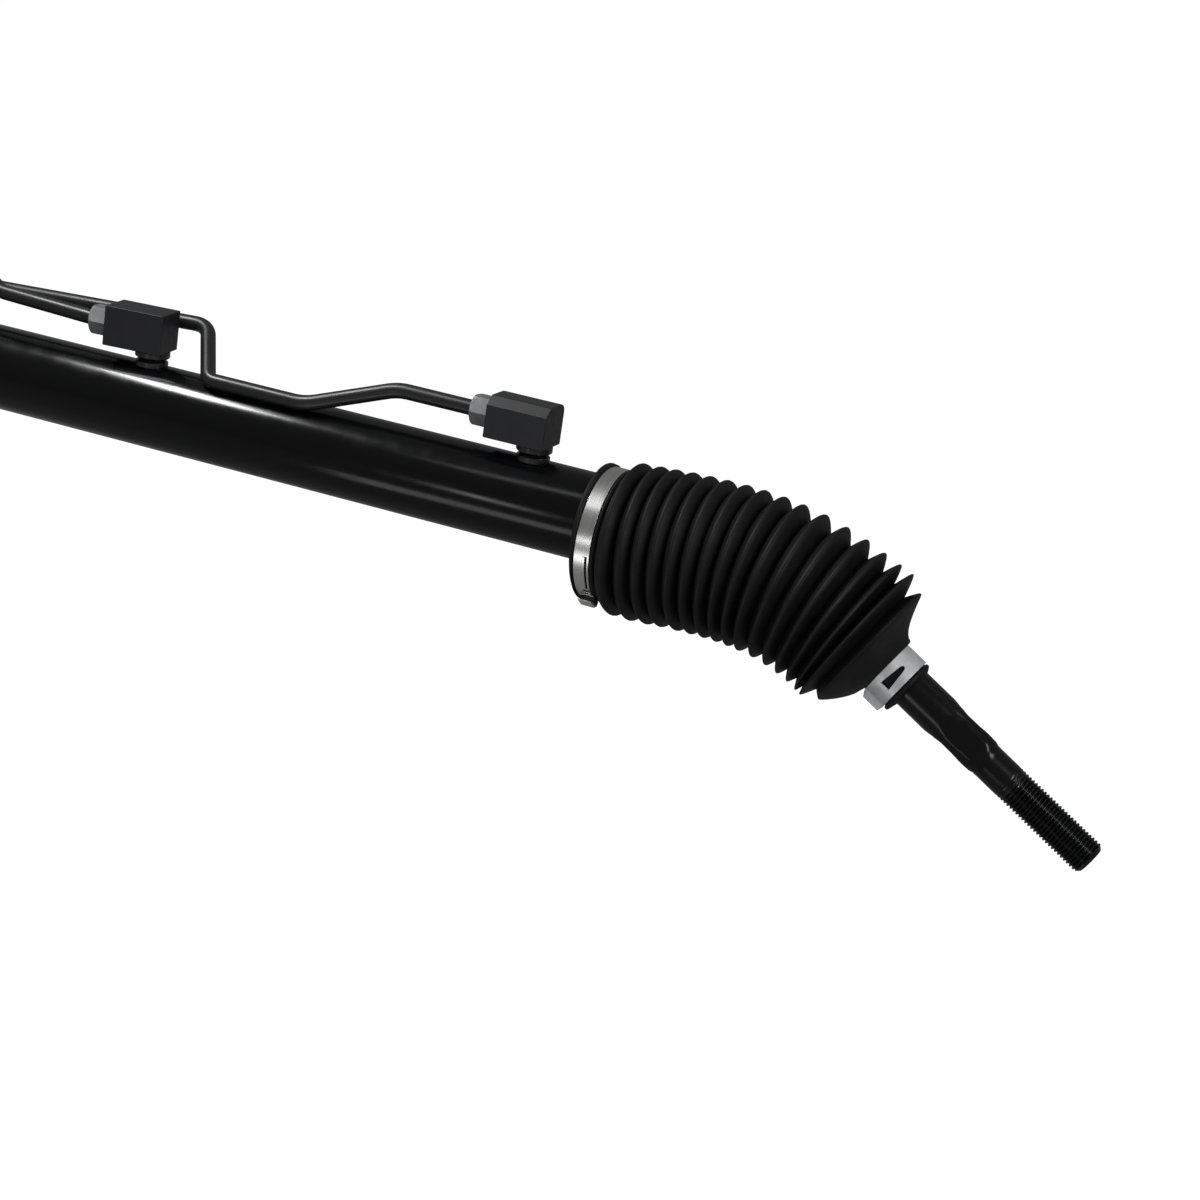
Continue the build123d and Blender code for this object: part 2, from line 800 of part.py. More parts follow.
def tower_bores():
    """All that is bored out of the upright tower, as one solid."""
    cap_top = tower_low_h + cap_height
    low_top = bearing_low_h + bearing_low_width
    top_top = bearing_top_h + bearing_top_width
    clip_r = valve_bore_r + clip_ring_reach
    bores = turned_z([
        (0, tower_low_h - overrun), (cap_r, tower_low_h - overrun), (cap_r, cap_top),
        (bearing_low_r, cap_top), (bearing_low_r, low_top), (pinion_room_r, low_top),
        (pinion_room_r, bearing_top_h), (bearing_top_r, bearing_top_h), (bearing_top_r, top_top),
        (valve_bore_r, top_top), (valve_bore_r, clip_h), (clip_r, clip_h),
        (clip_r, clip_h + clip_ring_height), (valve_bore_r, clip_h + clip_ring_height),
        (valve_bore_r, tower_top_h + overrun), (0, tower_top_h + overrun),
    ])
    for place in supply_ports():
        bores += place * ring_z(
            supply_boss_reach - supply_port_depth, supply_boss_reach + overrun, supply_port_r
        )
        bores += place * ring_z(0, supply_boss_reach, passage_d / 2)
    for place in line_ports():
        bores += place * ring_z(
            line_boss_reach - nut_gland_length, line_boss_reach + overrun, nut_gland_d / 2
        )
        bores += place * ring_z(0, line_boss_reach, passage_d / 2)
    return bores


def housing_outside():
    nose_left = 2 * mid_x - collar_right_x
    nose_right = 2 * mid_x - cuff_left_x
    body = ring_x(nose_right, housing_right_x, barrel_r, 0)
    body += Pos(0, 0, -seat_drop) * ring_x(nose_left, nose_right, seat_r, 0)
    body += shaft_place * tower_outside()
    body += yoke_place() * ring_z(0, -yoke_boss_y, yoke_boss_r)
    for place in lug_places():
        web = make_hull([
            *Circle(lug_web_r).edges(), *(Pos(0, -lug_y) * Circle(lug_web_root_r)).edges()
        ])
        body += place * Cylinder(lug_r, lug_height)
        body += place * extrude(web, lug_web / 2, both=True)
    return body


def pinion_housing():
    body = housing_outside()
    nose_left = 2 * mid_x - collar_right_x
    bush_end = bush_left_x + left_bush_length
    body -= turned([
        (nose_left - overrun, 0), (nose_left - overrun, tube_r), (bush_left_x, tube_r),
        (bush_left_x, bar_r + left_bush_wall), (bush_end, bar_r + left_bush_wall), (bush_end, rack_room_r),
        (tube_left_x, rack_room_r), (tube_left_x, tube_r), (housing_right_x + overrun, tube_r),
        (housing_right_x + overrun, 0),
    ])
    yoke_end = yoke_start + yoke_length
    body -= yoke_place() * turned_z([
        (0, 0), (yoke_r + running, 0), (yoke_r + running, yoke_end + overrun), (plug_r, yoke_end + overrun),
        (plug_r, overrun - yoke_boss_y), (0, overrun - yoke_boss_y),
    ])
    body -= shaft_place * tower_bores()
    for place in lug_places():
        body -= place * Cylinder(lug_bush_r, lug_height + overrun)
    return body


def lug_bush(place):
    return place * ring_z(-lug_height / 2, lug_height / 2, lug_bush_r, lug_sleeve_r)


def lug_sleeve(place):
    half = lug_height / 2 + lug_sleeve_stand
    return place * ring_z(-half, half, lug_sleeve_r, lug_sleeve_bore_r)


# Pinion, valve and the pieces round them, drawn about Z and placed on the leaning axis

def tooth_edges(turn):
    """One pinion tooth, from root to root: flank, tip, flank."""
    half_at_base = half_tooth_angle(base_r)
    radii = [base_r + (tip_radius - base_r) * share for share in flank_shares]

    def at(radius, angle):
        return Vector(radius, 0, 0).rotate(Axis.Z, turn + math.degrees(angle))

    low, high = [], []
    for radius in radii:
        low.append(at(radius, -half_tooth_angle(radius)))
        high.append(at(radius, half_tooth_angle(radius)))
    next_turn = math.radians(360 / pinion_teeth)
    return [
        Line(at(root_r, -half_at_base), low[0]), Spline(*low),
        ThreePointArc(low[-1], at(tip_radius, 0), high[-1]), Spline(*high[::-1]),
        Line(high[0], at(root_r, half_at_base)),
        ThreePointArc(
            at(root_r, half_at_base), at(root_r, next_turn / 2), at(root_r, next_turn - half_at_base)
        ),
    ]


def half_tooth_angle(radius):
    """Half the angle that an involute tooth spans at a radius."""
    thickness = (
        transverse_module * math.pi / 2
        + 2 * profile_shift * module * math.tan(transverse_angle) - backlash
    )
    at_radius = math.acos(base_r / radius)
    return (
        thickness / (2 * pitch_r) + math.tan(transverse_angle) - transverse_angle
        - math.tan(at_radius) + at_radius
    )


def pinion_teeth_solid():
    """Helical teeth, with one tooth pointing at the bar in the middle of the face."""
    edges = []
    for i in range(pinion_teeth):
        edges += tooth_edges(i * 360 / pinion_teeth)
    twist = -math.degrees(pinion_face * math.tan(math.radians(helix_angle)) / pitch_r)
    teeth = Solid.extrude_linear_with_rotation(
        make_face(edges).face(), (0, 0, 0), (0, 0, pinion_face), twist
    )
    return Pos(0, 0, -pinion_face / 2) * Rot(0, 0, -90 - twist / 2) * teeth


def pinion():
    body = pinion_teeth_solid()
    half = pinion_face / 2
    head_h = bearing_top_h + bearing_top_width + running
    body += ring_z(pinion_low_h, -half, journal_low_r)
    body += ring_z(half, head_h, journal_top_r)
    body += ring_z(head_h, pinion_top_h, pinion_head_r)
    body -= ring_z(input_low_h, pinion_top_h + overrun, input_spigot_r + running)
    body -= ring_z(torsion_low_h, pinion_top_h, torsion_head_r)
    body -= sleeve_pin()
    return body


def sleeve_pin():
    """Radial pin that ties the sleeve to the pinion's head."""
    height = pinion_top_h - sleeve_grip / 2
    return Pos(0, 0, height) * Rot(0, 90, 0) * ring_z(
        input_spigot_r + pin_set_back, sleeve_r - pin_set_back, pin_r
    )


def valve_sleeve():
    body = ring_z(sleeve_low_h, sleeve_top_h, sleeve_r, valve_r + running)
    body -= ring_z(sleeve_low_h - overrun, pinion_top_h + running, pinion_head_r)
    for ring in sleeve_ring_heights():
        body -= ring_z(ring, ring + sleeve_ring_width, sleeve_r + overrun, sleeve_r - sleeve_ring_depth)
    return body - sleeve_pin()


def sleeve_ring_heights():
    room = sleeve_top_h - pinion_top_h - 2 * sleeve_ring_width
    step = room / (sleeve_ring_count - 1)
    return [pinion_top_h + sleeve_ring_width / 2 + i * step for i in range(sleeve_ring_count)]


def sleeve_rings():
    return [
        ring_z(ring, ring + sleeve_ring_width, valve_bore_r - running, sleeve_r - sleeve_ring_depth)
        for ring in sleeve_ring_heights()
    ]


def torsion_bar():
    body = ring_z(torsion_low_h, torsion_top_h, torsion_r)
    body += ring_z(torsion_low_h, torsion_low_h + torsion_head_length, torsion_head_r)
    body += ring_z(torsion_top_h - torsion_head_length, torsion_top_h, torsion_head_r)
    height = torsion_top_h - torsion_head_length / 2
    return body - Pos(0, 0, height) * Rot(0, 90, 0) * Cylinder(
        top_pin_r + top_pin_gap, 2 * torsion_head_length
    )


def top_pin():
    height = torsion_top_h - torsion_head_length / 2
    return Pos(0, 0, height) * Rot(0, 90, 0) * Cylinder(top_pin_r, 2 * (spline_r - pin_set_back))


def input_shaft():
    body = ring_z(input_low_h + running, pinion_top_h + input_step_gap, input_spigot_r)
    shoulder_h = seal_low_h - input_step_gap
    body += ring_z(pinion_top_h + input_step_gap, shoulder_h, valve_r)
    body += ring_z(shoulder_h, spline_low_h, input_r)
    body += ring_z(spline_low_h, input_top_h, spline_r)
    body -= ring_z(0, input_top_h + overrun, torsion_head_r + running)
    groove = ring_z(
        spline_groove_h, spline_groove_h + spline_groove_width, spline_r + overrun,
        spline_r - spline_groove_depth,
    )
    body -= groove
    return body - top_pin()


def pinion_nut():
    body = Pos(0, 0, pinion_nut_h) * hexagon(pinion_nut_across, pinion_nut_height)
    return body - ring_z(tower_low_h, 0, journal_low_r)


def bottom_cap():
    body = ring_z(tower_low_h, tower_low_h + cap_height, cap_r)
    return body - Pos(0, 0, tower_low_h - overrun) * hexagon(cap_hex_across, cap_hex_depth + overrun)


def pinion_bearing_low():
    return ring_z(bearing_low_h, bearing_low_h + bearing_low_width, bearing_low_r, journal_low_r + running)


def pinion_bearing_top():
    return ring_z(bearing_top_h, bearing_top_h + bearing_top_width, bearing_top_r, journal_top_r + running)


def shaft_seal():
    return ring_z(seal_low_h, seal_low_h + seal_height, valve_bore_r, input_r + running)


def seal_clip():
    return ring_z(
        clip_h, clip_h + clip_ring_height, valve_bore_r + clip_ring_reach, valve_bore_r - clip_ring_reach
    )


def dust_boot():
    top = tower_top_h + boot_height
    shaft_r = input_r + soft_gap
    return turned_z([
        (boot_r, tower_top_h), (shaft_r + boot_wall, top), (shaft_r, top),
        (shaft_r, top - boot_wall), (boot_r - boot_wall, tower_top_h),
    ])


# Rack support yoke, drawn along its own axis from the bar outwards

def yoke():
    body = ring_z(yoke_start, yoke_start + yoke_length, yoke_r)
    return yoke_place() * body - ring_x(
        pinion_x - tube_od, pinion_x + tube_od, bar_r + running + yoke_liner_thickness, 0
    )


def yoke_liner():
    half = yoke_r - yoke_liner_thickness
    inner = bar_r + running
    body = ring_x(pinion_x - half, pinion_x + half, inner + yoke_liner_thickness, inner)
    return body & yoke_place() * ring_z(yoke_start + yoke_liner_set_back, yoke_start + yoke_length, yoke_r)


def yoke_springs():
    """Two disc springs, back to back."""
    low = yoke_start + yoke_length
    half = yoke_spring_room / 2
    thick = yoke_spring_wire
    disc = turned_z([
        (spring_hole_r, low), (yoke_spring_r, low + half - thick), (yoke_spring_r, low + half),
        (spring_hole_r, low + thick),
    ])
    other = mirror(disc, about=Plane.XY.offset(low + half))
    return [yoke_place() * disc, yoke_place() * other]


def yoke_plug():
    low = yoke_start + yoke_length + yoke_spring_room
    top = lock_nut_width + plug_stand - yoke_boss_y
    body = ring_z(low, top, plug_r)
    body -= Pos(0, 0, top - yoke_plug_hex_depth) * hexagon(
        yoke_plug_hex_across, yoke_plug_hex_depth + overrun
    )
    return yoke_place() * body


def yoke_lock_nut():
    body = Pos(0, 0, -yoke_boss_y) * hexagon(lock_nut_across, lock_nut_width)
    return yoke_place() * (body - ring_z(0, lock_nut_width + overrun - yoke_boss_y, plug_r))


def main():
    save("cylinder_tube", cylinder_tube())
    save("bellows_seat_collar", seat_collar())
    save("pinion_housing", pinion_housing())
    save("rack_end_bush", rack_end_bush())
    save("left_rack_bush", left_rack_bush())
    save("outer_rack_seal", outer_seal())
    save("inner_rack_seal", inner_seal())
    save("inner_seal_carrier", inner_seal_carrier())
    save("rack_bar", rack_bar())
    save("piston", piston())
    save("piston_ring", piston_ring())
    save("piston_clips", *piston_clips())
    for side, place in (("right", lambda shape: shape), ("left", other_end)):
        save(f"bellows_{side}", place(bellows()))
        save(f"large_clamp_{side}", place(large_clamp()))
        save(f"small_clamp_{side}", place(small_clamp()))
        save(f"ball_socket_{side}", place(Pos(ball_right_x, 0, 0) * ball_socket()))
        save(f"lock_washer_{side}", place(Pos(ball_right_x, 0, 0) * lock_washer()))
        save(f"ball_seat_{side}", place(on_rod(seat_liner())))
        save(f"tie_rod_{side}", place(on_rod(tie_rod())))
    save("port_block_inner", block_place(port_inner_x, block_turn) * port_block(False))
    save("port_block_outer", block_place(port_outer_x, 0) * port_block(True))
    save("port_unions", union(port_inner_x, block_turn), union(port_outer_x, 0))
    save("union_rings", union_ring(port_inner_x), union_ring(port_outer_x))
    save("pipe_inner", pipe_inner())
    save("pipe_outer", pipe_outer())
    faces = [
        block_face(port_inner_x, block_turn), block_face(port_outer_x, 0),
        tower_face(line_port_h_outer), tower_face(line_port_h_inner),
    ]
    save("pipe_nuts", *[face * pipe_nut() for face in faces])
    save("pinion", shaft_place * pinion())
    save("pinion_nut", shaft_place * pinion_nut())
    save("valve_sleeve", shaft_place * valve_sleeve())
    save("sleeve_pin", shaft_place * sleeve_pin())
    save("sleeve_rings", *[shaft_place * ring for ring in sleeve_rings()])
    save("torsion_bar", shaft_place * torsion_bar())
    save("torsion_pin", shaft_place * top_pin())
    save("input_shaft", shaft_place * input_shaft())
    save("pinion_bearings", shaft_place * pinion_bearing_low(), shaft_place * pinion_bearing_top())
    save("bottom_cap", shaft_place * bottom_cap())
    save("shaft_seal", shaft_place * shaft_seal())
    save("seal_clip", shaft_place * seal_clip())
    save("dust_boot", shaft_place * dust_boot())
    save("yoke", yoke())
    save("yoke_liner", yoke_liner())
    save("yoke_springs", *yoke_springs())
    save("yoke_plug", yoke_plug())
    save("yoke_lock_nut", yoke_lock_nut())
    near, far = lug_places()
    save("lug_bushes", lug_bush(near), lug_bush(far))
    save("lug_sleeves", lug_sleeve(near), lug_sleeve(far))


os.makedirs("parts", exist_ok=True)
main()
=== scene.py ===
"""Dressed model of a hydraulic steering rack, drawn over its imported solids.

Lengths are named in millimetres and turned into metres by MM. +X runs along the rack
bar towards the bellows that the picture shows, +Z is up and the viewer stands at -Y.
"""
import bpy, bmesh, json, math
from mathutils import Matrix, Vector

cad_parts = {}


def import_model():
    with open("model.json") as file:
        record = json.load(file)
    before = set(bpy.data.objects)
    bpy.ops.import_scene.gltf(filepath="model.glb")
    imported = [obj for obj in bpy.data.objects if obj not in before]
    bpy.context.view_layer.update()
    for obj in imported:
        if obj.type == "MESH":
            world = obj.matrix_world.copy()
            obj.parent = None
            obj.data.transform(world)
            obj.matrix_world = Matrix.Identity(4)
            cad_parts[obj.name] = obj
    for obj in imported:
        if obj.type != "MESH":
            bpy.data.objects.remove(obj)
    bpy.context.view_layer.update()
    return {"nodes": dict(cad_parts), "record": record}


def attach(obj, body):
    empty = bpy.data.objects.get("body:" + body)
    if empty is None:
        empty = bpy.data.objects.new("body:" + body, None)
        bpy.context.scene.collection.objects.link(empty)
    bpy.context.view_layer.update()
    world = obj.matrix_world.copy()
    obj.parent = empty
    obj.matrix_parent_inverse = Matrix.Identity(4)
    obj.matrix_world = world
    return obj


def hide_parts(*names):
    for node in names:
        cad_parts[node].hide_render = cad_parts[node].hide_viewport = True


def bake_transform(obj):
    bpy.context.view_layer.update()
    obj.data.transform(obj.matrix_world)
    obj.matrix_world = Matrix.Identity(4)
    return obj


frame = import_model()
MM = 0.001

# Whole assembly
BALL_X = 164.5                 # centre of the right inner ball joint
BALL_SPAN = 640.0
MID_X = BALL_X - BALL_SPAN / 2
DROOP = 31.0                   # of both tie rods, degrees
ROUND_STEPS = 96               # sides of a large turned piece
SMALL_STEPS = 48

# Tube
TUBE_R = 17.5
TUBE_BORE_R = 15.5
TUBE_LEFT_X, TUBE_RIGHT_X = -262.0, 90.0
TUBE_EDGE = 0.5
TUBE_STEPS = 128

# Bellows
# The crests, from the cuff to the bell: radius, shift from an even spacing along the curve, how far
# the top leans forward and the foot back, and height over the curve
CREST_RADII = [30.0] + [30.3] * 11 + [30.4, 30.4, 30.8, 31.0, 27.5]
CREST_SHIFTS = [0.4, 1.0, 1.0, 0.7, 1.0, 0.7, 0.7, 0.2, 0.0, -0.4, 0.5, 1.5, 2.0, 2.0, 1.2, -1.4, -1.2]
CREST_LEANS = [-1.2, -1.0, -1.3, -0.7, -0.6, -0.1, 0.7, 1.1, 1.7, 1.9, 1.0, 0.0, -0.7, -0.8, -0.6, 0.5, 0.0]
CREST_LIFTS = [0.0, 0.1, 0.4, 0.8, 1.0, 1.1, 1.1, 1.0, 0.8, 0.5, 0.3, 0.0, 0.0, 0.0, 0.0, 0.1, 0.2]
CREST_COUNT = len(CREST_RADII)
# The valleys, each after the crest of the same place: radius, and height over the curve
VALLEY_RADII = [24.4, 25.4] + [25.5] * 5 + [25.2] + [25.0] * 5 + [25.2, 25.3, 23.8]
VALLEY_LIFTS = [0.0, 0.3, 0.6, 0.9, 1.0, 1.1, 1.0, 0.6, 0.0, -0.8, -1.2, -1.2, -1.2, -1.6, -2.4, -1.4]
FIRST_VALLEY_R = 25.0          # between the cuff and the first crest
SEAT_DROP = 4.84               # of the cuff's centre below the bar's axis
SEAT_R = 23.1
CUFF_R = 25.3
CUFF_LIP_R = 26.3
CUFF_END_R = 27.2              # of the thick lip towards the tube
CUFF_END_LEAN = -0.035         # slope of that lip's face, whose top lies further left
CUFF_LEFT_X = 86.5
CLAMP_LEFT_X = 88.4
CLAMP_WIDTH = 6.5
FIRST_CREST_X = 100.2
FIRST_VALLEY_X = 97.0
BEND_NEAR, BEND_FAR = 58.0, 40.0            # how far the curve's ends run straight on
BELL_START, NECK_START, NECK_END = 44.0, 52.5, 64.0  # from the ball along the tie rod
NECK_LIP = 1.9                 # length of the neck's lip
NECK_CONE = 0.9                # from the neck's lip down to the tie rod
BELL_HOLLOW_TOP, BELL_HOLLOW_FOOT = 1.9, 0.65        # powers of its outline, hollow over 1 and full below
BELL_TIP = 0.06                # rounds the bell's start, as a share of its length
BELL_TOP_TURN = -22.0          # of the hollow side from the top, towards the front
BELL_END_R, BELL_END, BELL_DROP = 12.5, 52.1, 0.2
NECK_R, NECK_LIP_R = 10.5, 11.4
NECK_DROP = 1.1                # of the neck's centre below the tie rod's axis
FOLD_RINGS = 16                # rings of the mesh from one valley to the next
# Crests go from round to sharp between these two places in their row, which itself starts at 0
SHARP_FROM, SHARP_TO = -10, 12
TIP_ROUNDING = 0.25            # of a sharp crest, as a share of half a fold's length
SLIDE_FOLDS = 10               # as many folds go into the first bellows piece, and the others up to the last crest into the second
# Rings of the bell, as shares of its length
BELL_SHARES = [0.02, 0.045, 0.075, 0.11, 0.16, 0.23, 0.32, 0.42, 0.53, 0.65, 0.77, 0.89, 1.0]

# Clamps
CLAMP_GAP = 0.1
CLAMP_EDGE = 0.15
STRIP_EDGE, STRIP_INSET = 0.25, 0.12        # length and depth of a strip's broken edges
SLOT_WIDTH = 0.7
CLAMP_THICK = 0.8
SLOT_START, SLOT_END = 97.0, 132.0          # from the top, towards the front
SLOT_LEFT_X, SLOT_RIGHT_X = 92.0, 93.9
TONGUE_THICK, TONGUE_SINK = 0.3, 0.02
HOOK_TURN = 146.0
HOOK_LEFT_X, HOOK_RIGHT_X = 90.0, 95.8
# Shift along X of the dark block in the large clamp's hook, a solid that paints the shade inside the hook's
# mouth
SHADE_BLOCK_SHIFT = 0.7
# Outlines of the large clamp's hook and of the dark block in its mouth, which is painted shade: distance
# along the band, and height over it
HOOK_OUTLINE = [
    (3.0, -0.05), (-2.9, -0.3), (-3.5, 0.8), (-3.5, 2.4), (-2.9, 3.1), (3.3, 3.1), (3.3, 2.55), (-2.5, 2.55),
    (-2.9, 2.1), (-2.9, 1.0), (-2.5, 0.55), (3.0, 0.5),
]
SHADE_BLOCK_OUTLINE = [(2.7, 0.5), (-2.7, 0.5), (-2.7, 2.6), (2.7, 2.6)]
SMALL_CLAMP_START = 52.6
SMALL_CLAMP_WIDTH = 9.3
SMALL_CLAMP_R = 10.8
WINDOW_TURN, WINDOW_SPAN = 44.0, 53.5       # narrow end from the top, and length round the band
WINDOW_NARROW, WINDOW_WIDE = 1.7, 4.0
WINDOW_STEPS = 24
WINDOW_ROUND = 0.12            # share of the window's length that its round end takes
WINDOW_BLUNT = 0.35            # share of its width that is left at that end
EAR_TURN, EAR_RISE = 155.0, 2.3
EAR_EDGE_RISE, EAR_FOOT_SINK = 0.1, 0.6
EAR_FOOT_ARC, EAR_CROWN_ARC, EAR_CROWN_RUN = 6.4, 4.6, 7.4
EAR_SHIFT = 0.4                # of the ear's crown along the rod

# Tie rod
ROD_R = 8.1
ROD_NECK_R = 5.5
ROD_NECK_END = 30.0
ROD_CONE_END = 38.0
FLATS_START, FLATS_END = 81.0, 100.0
# Half the distance between opposite flats, by the distance from the ball
FLAT_HALVES = [(79.5, 8.1), (83.0, 7.6), (87.0, 7.2), (91.0, 7.25), (97.0, 7.5), (100.5, 7.4), (103.0, 6.85)]
BULGE_R = 8.5
FLATS_TURN = 68.0              # of one flat's normal from the top, towards the front
SHANK_START = 103.0
SHANK_R = 6.88
# Radius of the rod before its flats and thread are cut, by the distance from the ball
ROD_OUTLINE = [
    (0, ROD_NECK_R), (ROD_NECK_END, ROD_NECK_R), (ROD_CONE_END, ROD_R), (FLATS_START, ROD_R),
    (FLATS_START + 7, BULGE_R), (FLATS_END - 2, BULGE_R), (SHANK_START + 1, SHANK_R),
]
THREAD_START = 113.0
THREAD_RUN_OUT = 7.0
THREAD_FLANK = 2.6             # slope of the thread's sides, over 2 for crests with a flat top
SEAM_TURN, SEAM_WIDTH, SEAM_RISE = 27.0, 5.0, 0.07
EDGE_BLEND = 0.14              # rounds the flats' edges
THREAD_R = 7.0
THREAD_PITCH = 1.5
THREAD_DEPTH = 0.85
ROD_END = 155.5
ROD_END_CHAMFER = 1.6
ROD_STEP, THREAD_STEPS = 0.5, 8             # spacing of rings on the plain rod, and rings in a thread's turn
BALL_R = 12.0
BALL_STEPS = 24

# Port blocks, unions and nuts
PORT_INNER_X, PORT_OUTER_X = -118.0, 56.0
BLOCK_LENGTH, BLOCK_WIDTH = 25.7, 17.4
BLOCK_BOTTOM_Z, BLOCK_TOP_Z = 23.1, 39.7
BLOCK_UNION_OFFSET = 6.0
BLOCK_TURN = 8.0
BLOCK_CHAMFER_Y, BLOCK_CHAMFER_Z = 4.1, 3.5
BLOCK_ROUND, BLOCK_ROUND_STEPS = 3.5, 6
BLOCK_EDGE = 0.45
PORT_AXIS_Z = 31.4
UNION_COLLAR_R, UNION_COLLAR = 7.2, 2.7
UNION_WAIST_R, UNION_FOOT_R = 5.3, 6.7
UNION_RIDGE, UNION_RIDGE_STEPS = 0.45, 8    # height of the waist's ridges, and steps up and down along it
UNION_START = 1.2              # of the foot over the tube's bore
UNION_EDGE, UNION_TOP_EDGE = 0.3, 0.4
NUT_ACROSS, NUT_LENGTH, NUT_BEVEL = 11.4, 8.3, 1.4
NUT_STEPS = 72
NUT_MOUTH, NUT_RIM = 0.25, 1.1              # radius of its mouth and its front edge over the pipe's

# Pipes, with the points where their straight runs would meet and the radii of the bends there
PIPE_R = 3.15
OUTER_ROUTE = [(-5, 0, PORT_AXIS_Z), (-41, -9, 18.9), (-85.6, -9, 18.9), (-101.5, 14, 35.1), (-202, 12, 30.5)]
OUTER_BENDS = [22.0, 25.0, 6.0, 9.5, 8.0, 8.0]
INNER_BEND_POINT = (-191.5, -3, 32.9)
INNER_BENDS = [8.0, 8.0, 8.0]
PIPE_SINK = 4.0                # of a pipe's end in its port
INNER_RUN, TOWER_RUN = 7.0, 21.0            # straight run from the inner block, and from the tower
PIPE_STEPS = 28
BEND_STEPS = 9

# Pinion tower
PINION_X, PINION_Y = -300.0, 14.749
SHAFT_LEAN = 20.0
LINE_REACH = 25.0
LINE_H_OUTER, LINE_H_INNER = 50.0, 68.0

# Camera, fitted to the photograph
CAMERA_TARGET = (92.37, 0.0, -31.58)
CAMERA_DISTANCE = 931.1
CAMERA_AZIMUTH, CAMERA_ELEVATION, CAMERA_ROLL = 19.971, 17.355, 8.788
CAMERA_FOCAL_PX = 2386.9
IMAGE_PX = 1200
SENSOR = 36.0

# Stage, with how bright the floor and the sky are to the camera, to gloss and to all else
FLOOR_Z = -190.0
FLOOR_REACH = 12000.0
FLOOR_GLOW, FLOOR_GLOSS, FLOOR_FILL = 0.98, 0.12, 0.0
FLOOR_GREY = 0.1
SKY_GLOW, SKY_GLOSS, SKY_FILL = 1.0, 0.2, 0.5

# Lamps: name, place, aimed at, size and power in watts
LAMPS = [
    ("soft_box_left", (-600, -225, 860), (-97, 0, 0), (250, 120), 8.5),
    ("over_the_tube", (200, -205, 870), (20, 0, 0), (1300, 110), 1.3),
    ("floor_strip", (35, -250, -172), (100, 0, 0), (320, 90), 0.23),
    ("front_level", (-175, -900, -60), (92, 0, -5), (90, 110), 0.26),
    ("right_side", (1100, -500, 500), (150, 0, 0), (500, 500), 6),
]

# Grain of the finishes: depth of detail of each noise, and the range that holds most of its values
NOISE_DETAIL = 3.0
NOISE_LOW, NOISE_HIGH = 0.3, 0.7

# Width of the rounded edges on solids that keep their own shape
ROUNDED = {
    "pinion_housing": 0.9, "yoke_lock_nut": 0.5, "yoke_plug": 0.4, "bottom_cap": 0.4, "lug_sleeves": 0.25,
    "input_shaft": 0.3, "dust_boot": 0.3,
}


def metres(x, y, z):
    return Vector((x, y, z)) * MM


# Mesh building

def new_object(name, mesh):
    obj = bpy.data.objects.new(name, mesh)
    bpy.context.scene.collection.objects.link(obj)
    return obj


def soften(mesh, sharp_angle):
    """Smooth shading, with hard edges where faces meet at more than an angle."""
    bm = bmesh.new()
    bm.from_mesh(mesh)
    bmesh.ops.recalc_face_normals(bm, faces=bm.faces)
    for face in bm.faces:
        face.smooth = True
    limit = math.radians(sharp_angle)
    for edge in bm.edges:
        edge.smooth = len(edge.link_faces) != 2 or edge.calc_face_angle(0.0) < limit
    bm.to_mesh(mesh)
    bm.free()


def skin(name, rings, wrap=False, caps=True, sharp_angle=32.0):
    """Surface through rings of points in millimetres, all with the same count."""
    count = len(rings[0])
    points = [p * MM for ring in rings for p in ring]
    faces = []
    spans = len(rings) if wrap else len(rings) - 1
    for i in range(spans):
        j = (i + 1) % len(rings)
        for k in range(count):
            n = (k + 1) % count
            faces.append((i * count + k, i * count + n, j * count + n, j * count + k))
    if caps and not wrap:
        faces.append(tuple(range(count)))
        faces.append(tuple(range(len(points) - 1, len(points) - 1 - count, -1)))
    mesh = bpy.data.meshes.new(name)
    mesh.from_pydata(points, [], faces)
    soften(mesh, sharp_angle)
    return new_object(name, mesh)


def ring_about_x(x, radius, steps):
    """Circle about the X direction; radius may be a function of the angle from the top."""
    ring = []
    for k in range(steps):
        a = 2 * math.pi * k / steps
        r = radius(a) if callable(radius) else radius
        ring.append(Vector((x, -r * math.sin(a), r * math.cos(a))))
    return ring


def lathe(name, profile, place=Matrix(), steps=SMALL_STEPS, wrap=False):
    """Turned piece about X from (x, radius) points, then placed."""
    rings = [[place @ p for p in ring_about_x(x, r, steps)] for x, r in profile]
    return skin(name, rings, wrap=wrap)


def rounded_profile(corners, radius, steps):
    """Closed (x, r) outline with each corner rounded by a small arc."""
    outline = []
    for i, corner in enumerate(corners):
        here = Vector(corner)
        before = Vector(corners[i - 1]) - here
        after = Vector(corners[(i + 1) % len(corners)]) - here
        cut = min(radius, before.length / 2.2, after.length / 2.2)
        a, b = here + before.normalized() * cut, here + after.normalized() * cut
        for s in range(steps + 1):
            t = s / steps
            outline.append(tuple(a * (1 - t) ** 2 + here * 2 * t * (1 - t) + b * t ** 2))
    return outline


def swap_side(obj):
    """Replaces a piece drawn at the right end by its mirror image at the left end."""
    name, mesh = obj.name, obj.data.copy()
    mesh.name = name
    mesh.transform(Matrix.Translation((2 * MID_X * MM, 0, 0)) @ Matrix.Diagonal((-1, 1, 1, 1)))
    mesh.flip_normals()
    bpy.data.objects.remove(obj)
    return new_object(name, mesh)


def join(name, objects):
    """One mesh from several, which are removed."""
    bm = bmesh.new()
    for obj in objects:
        bm.from_mesh(obj.data)
        mesh = obj.data
        bpy.data.objects.remove(obj)
        bpy.data.meshes.remove(mesh)
    mesh = bpy.data.meshes.new(name)
    bm.to_mesh(mesh)
    bm.free()
    return new_object(name, mesh)


def finish_piece(obj, body, material, slot, *nodes):
    """Gives a piece its material and body, and lets it stand for CAD nodes. Its slot is not used."""
    obj.data.materials.clear()
    obj.data.materials.append(material)
    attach(obj, body)
    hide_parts(*nodes)
    return obj


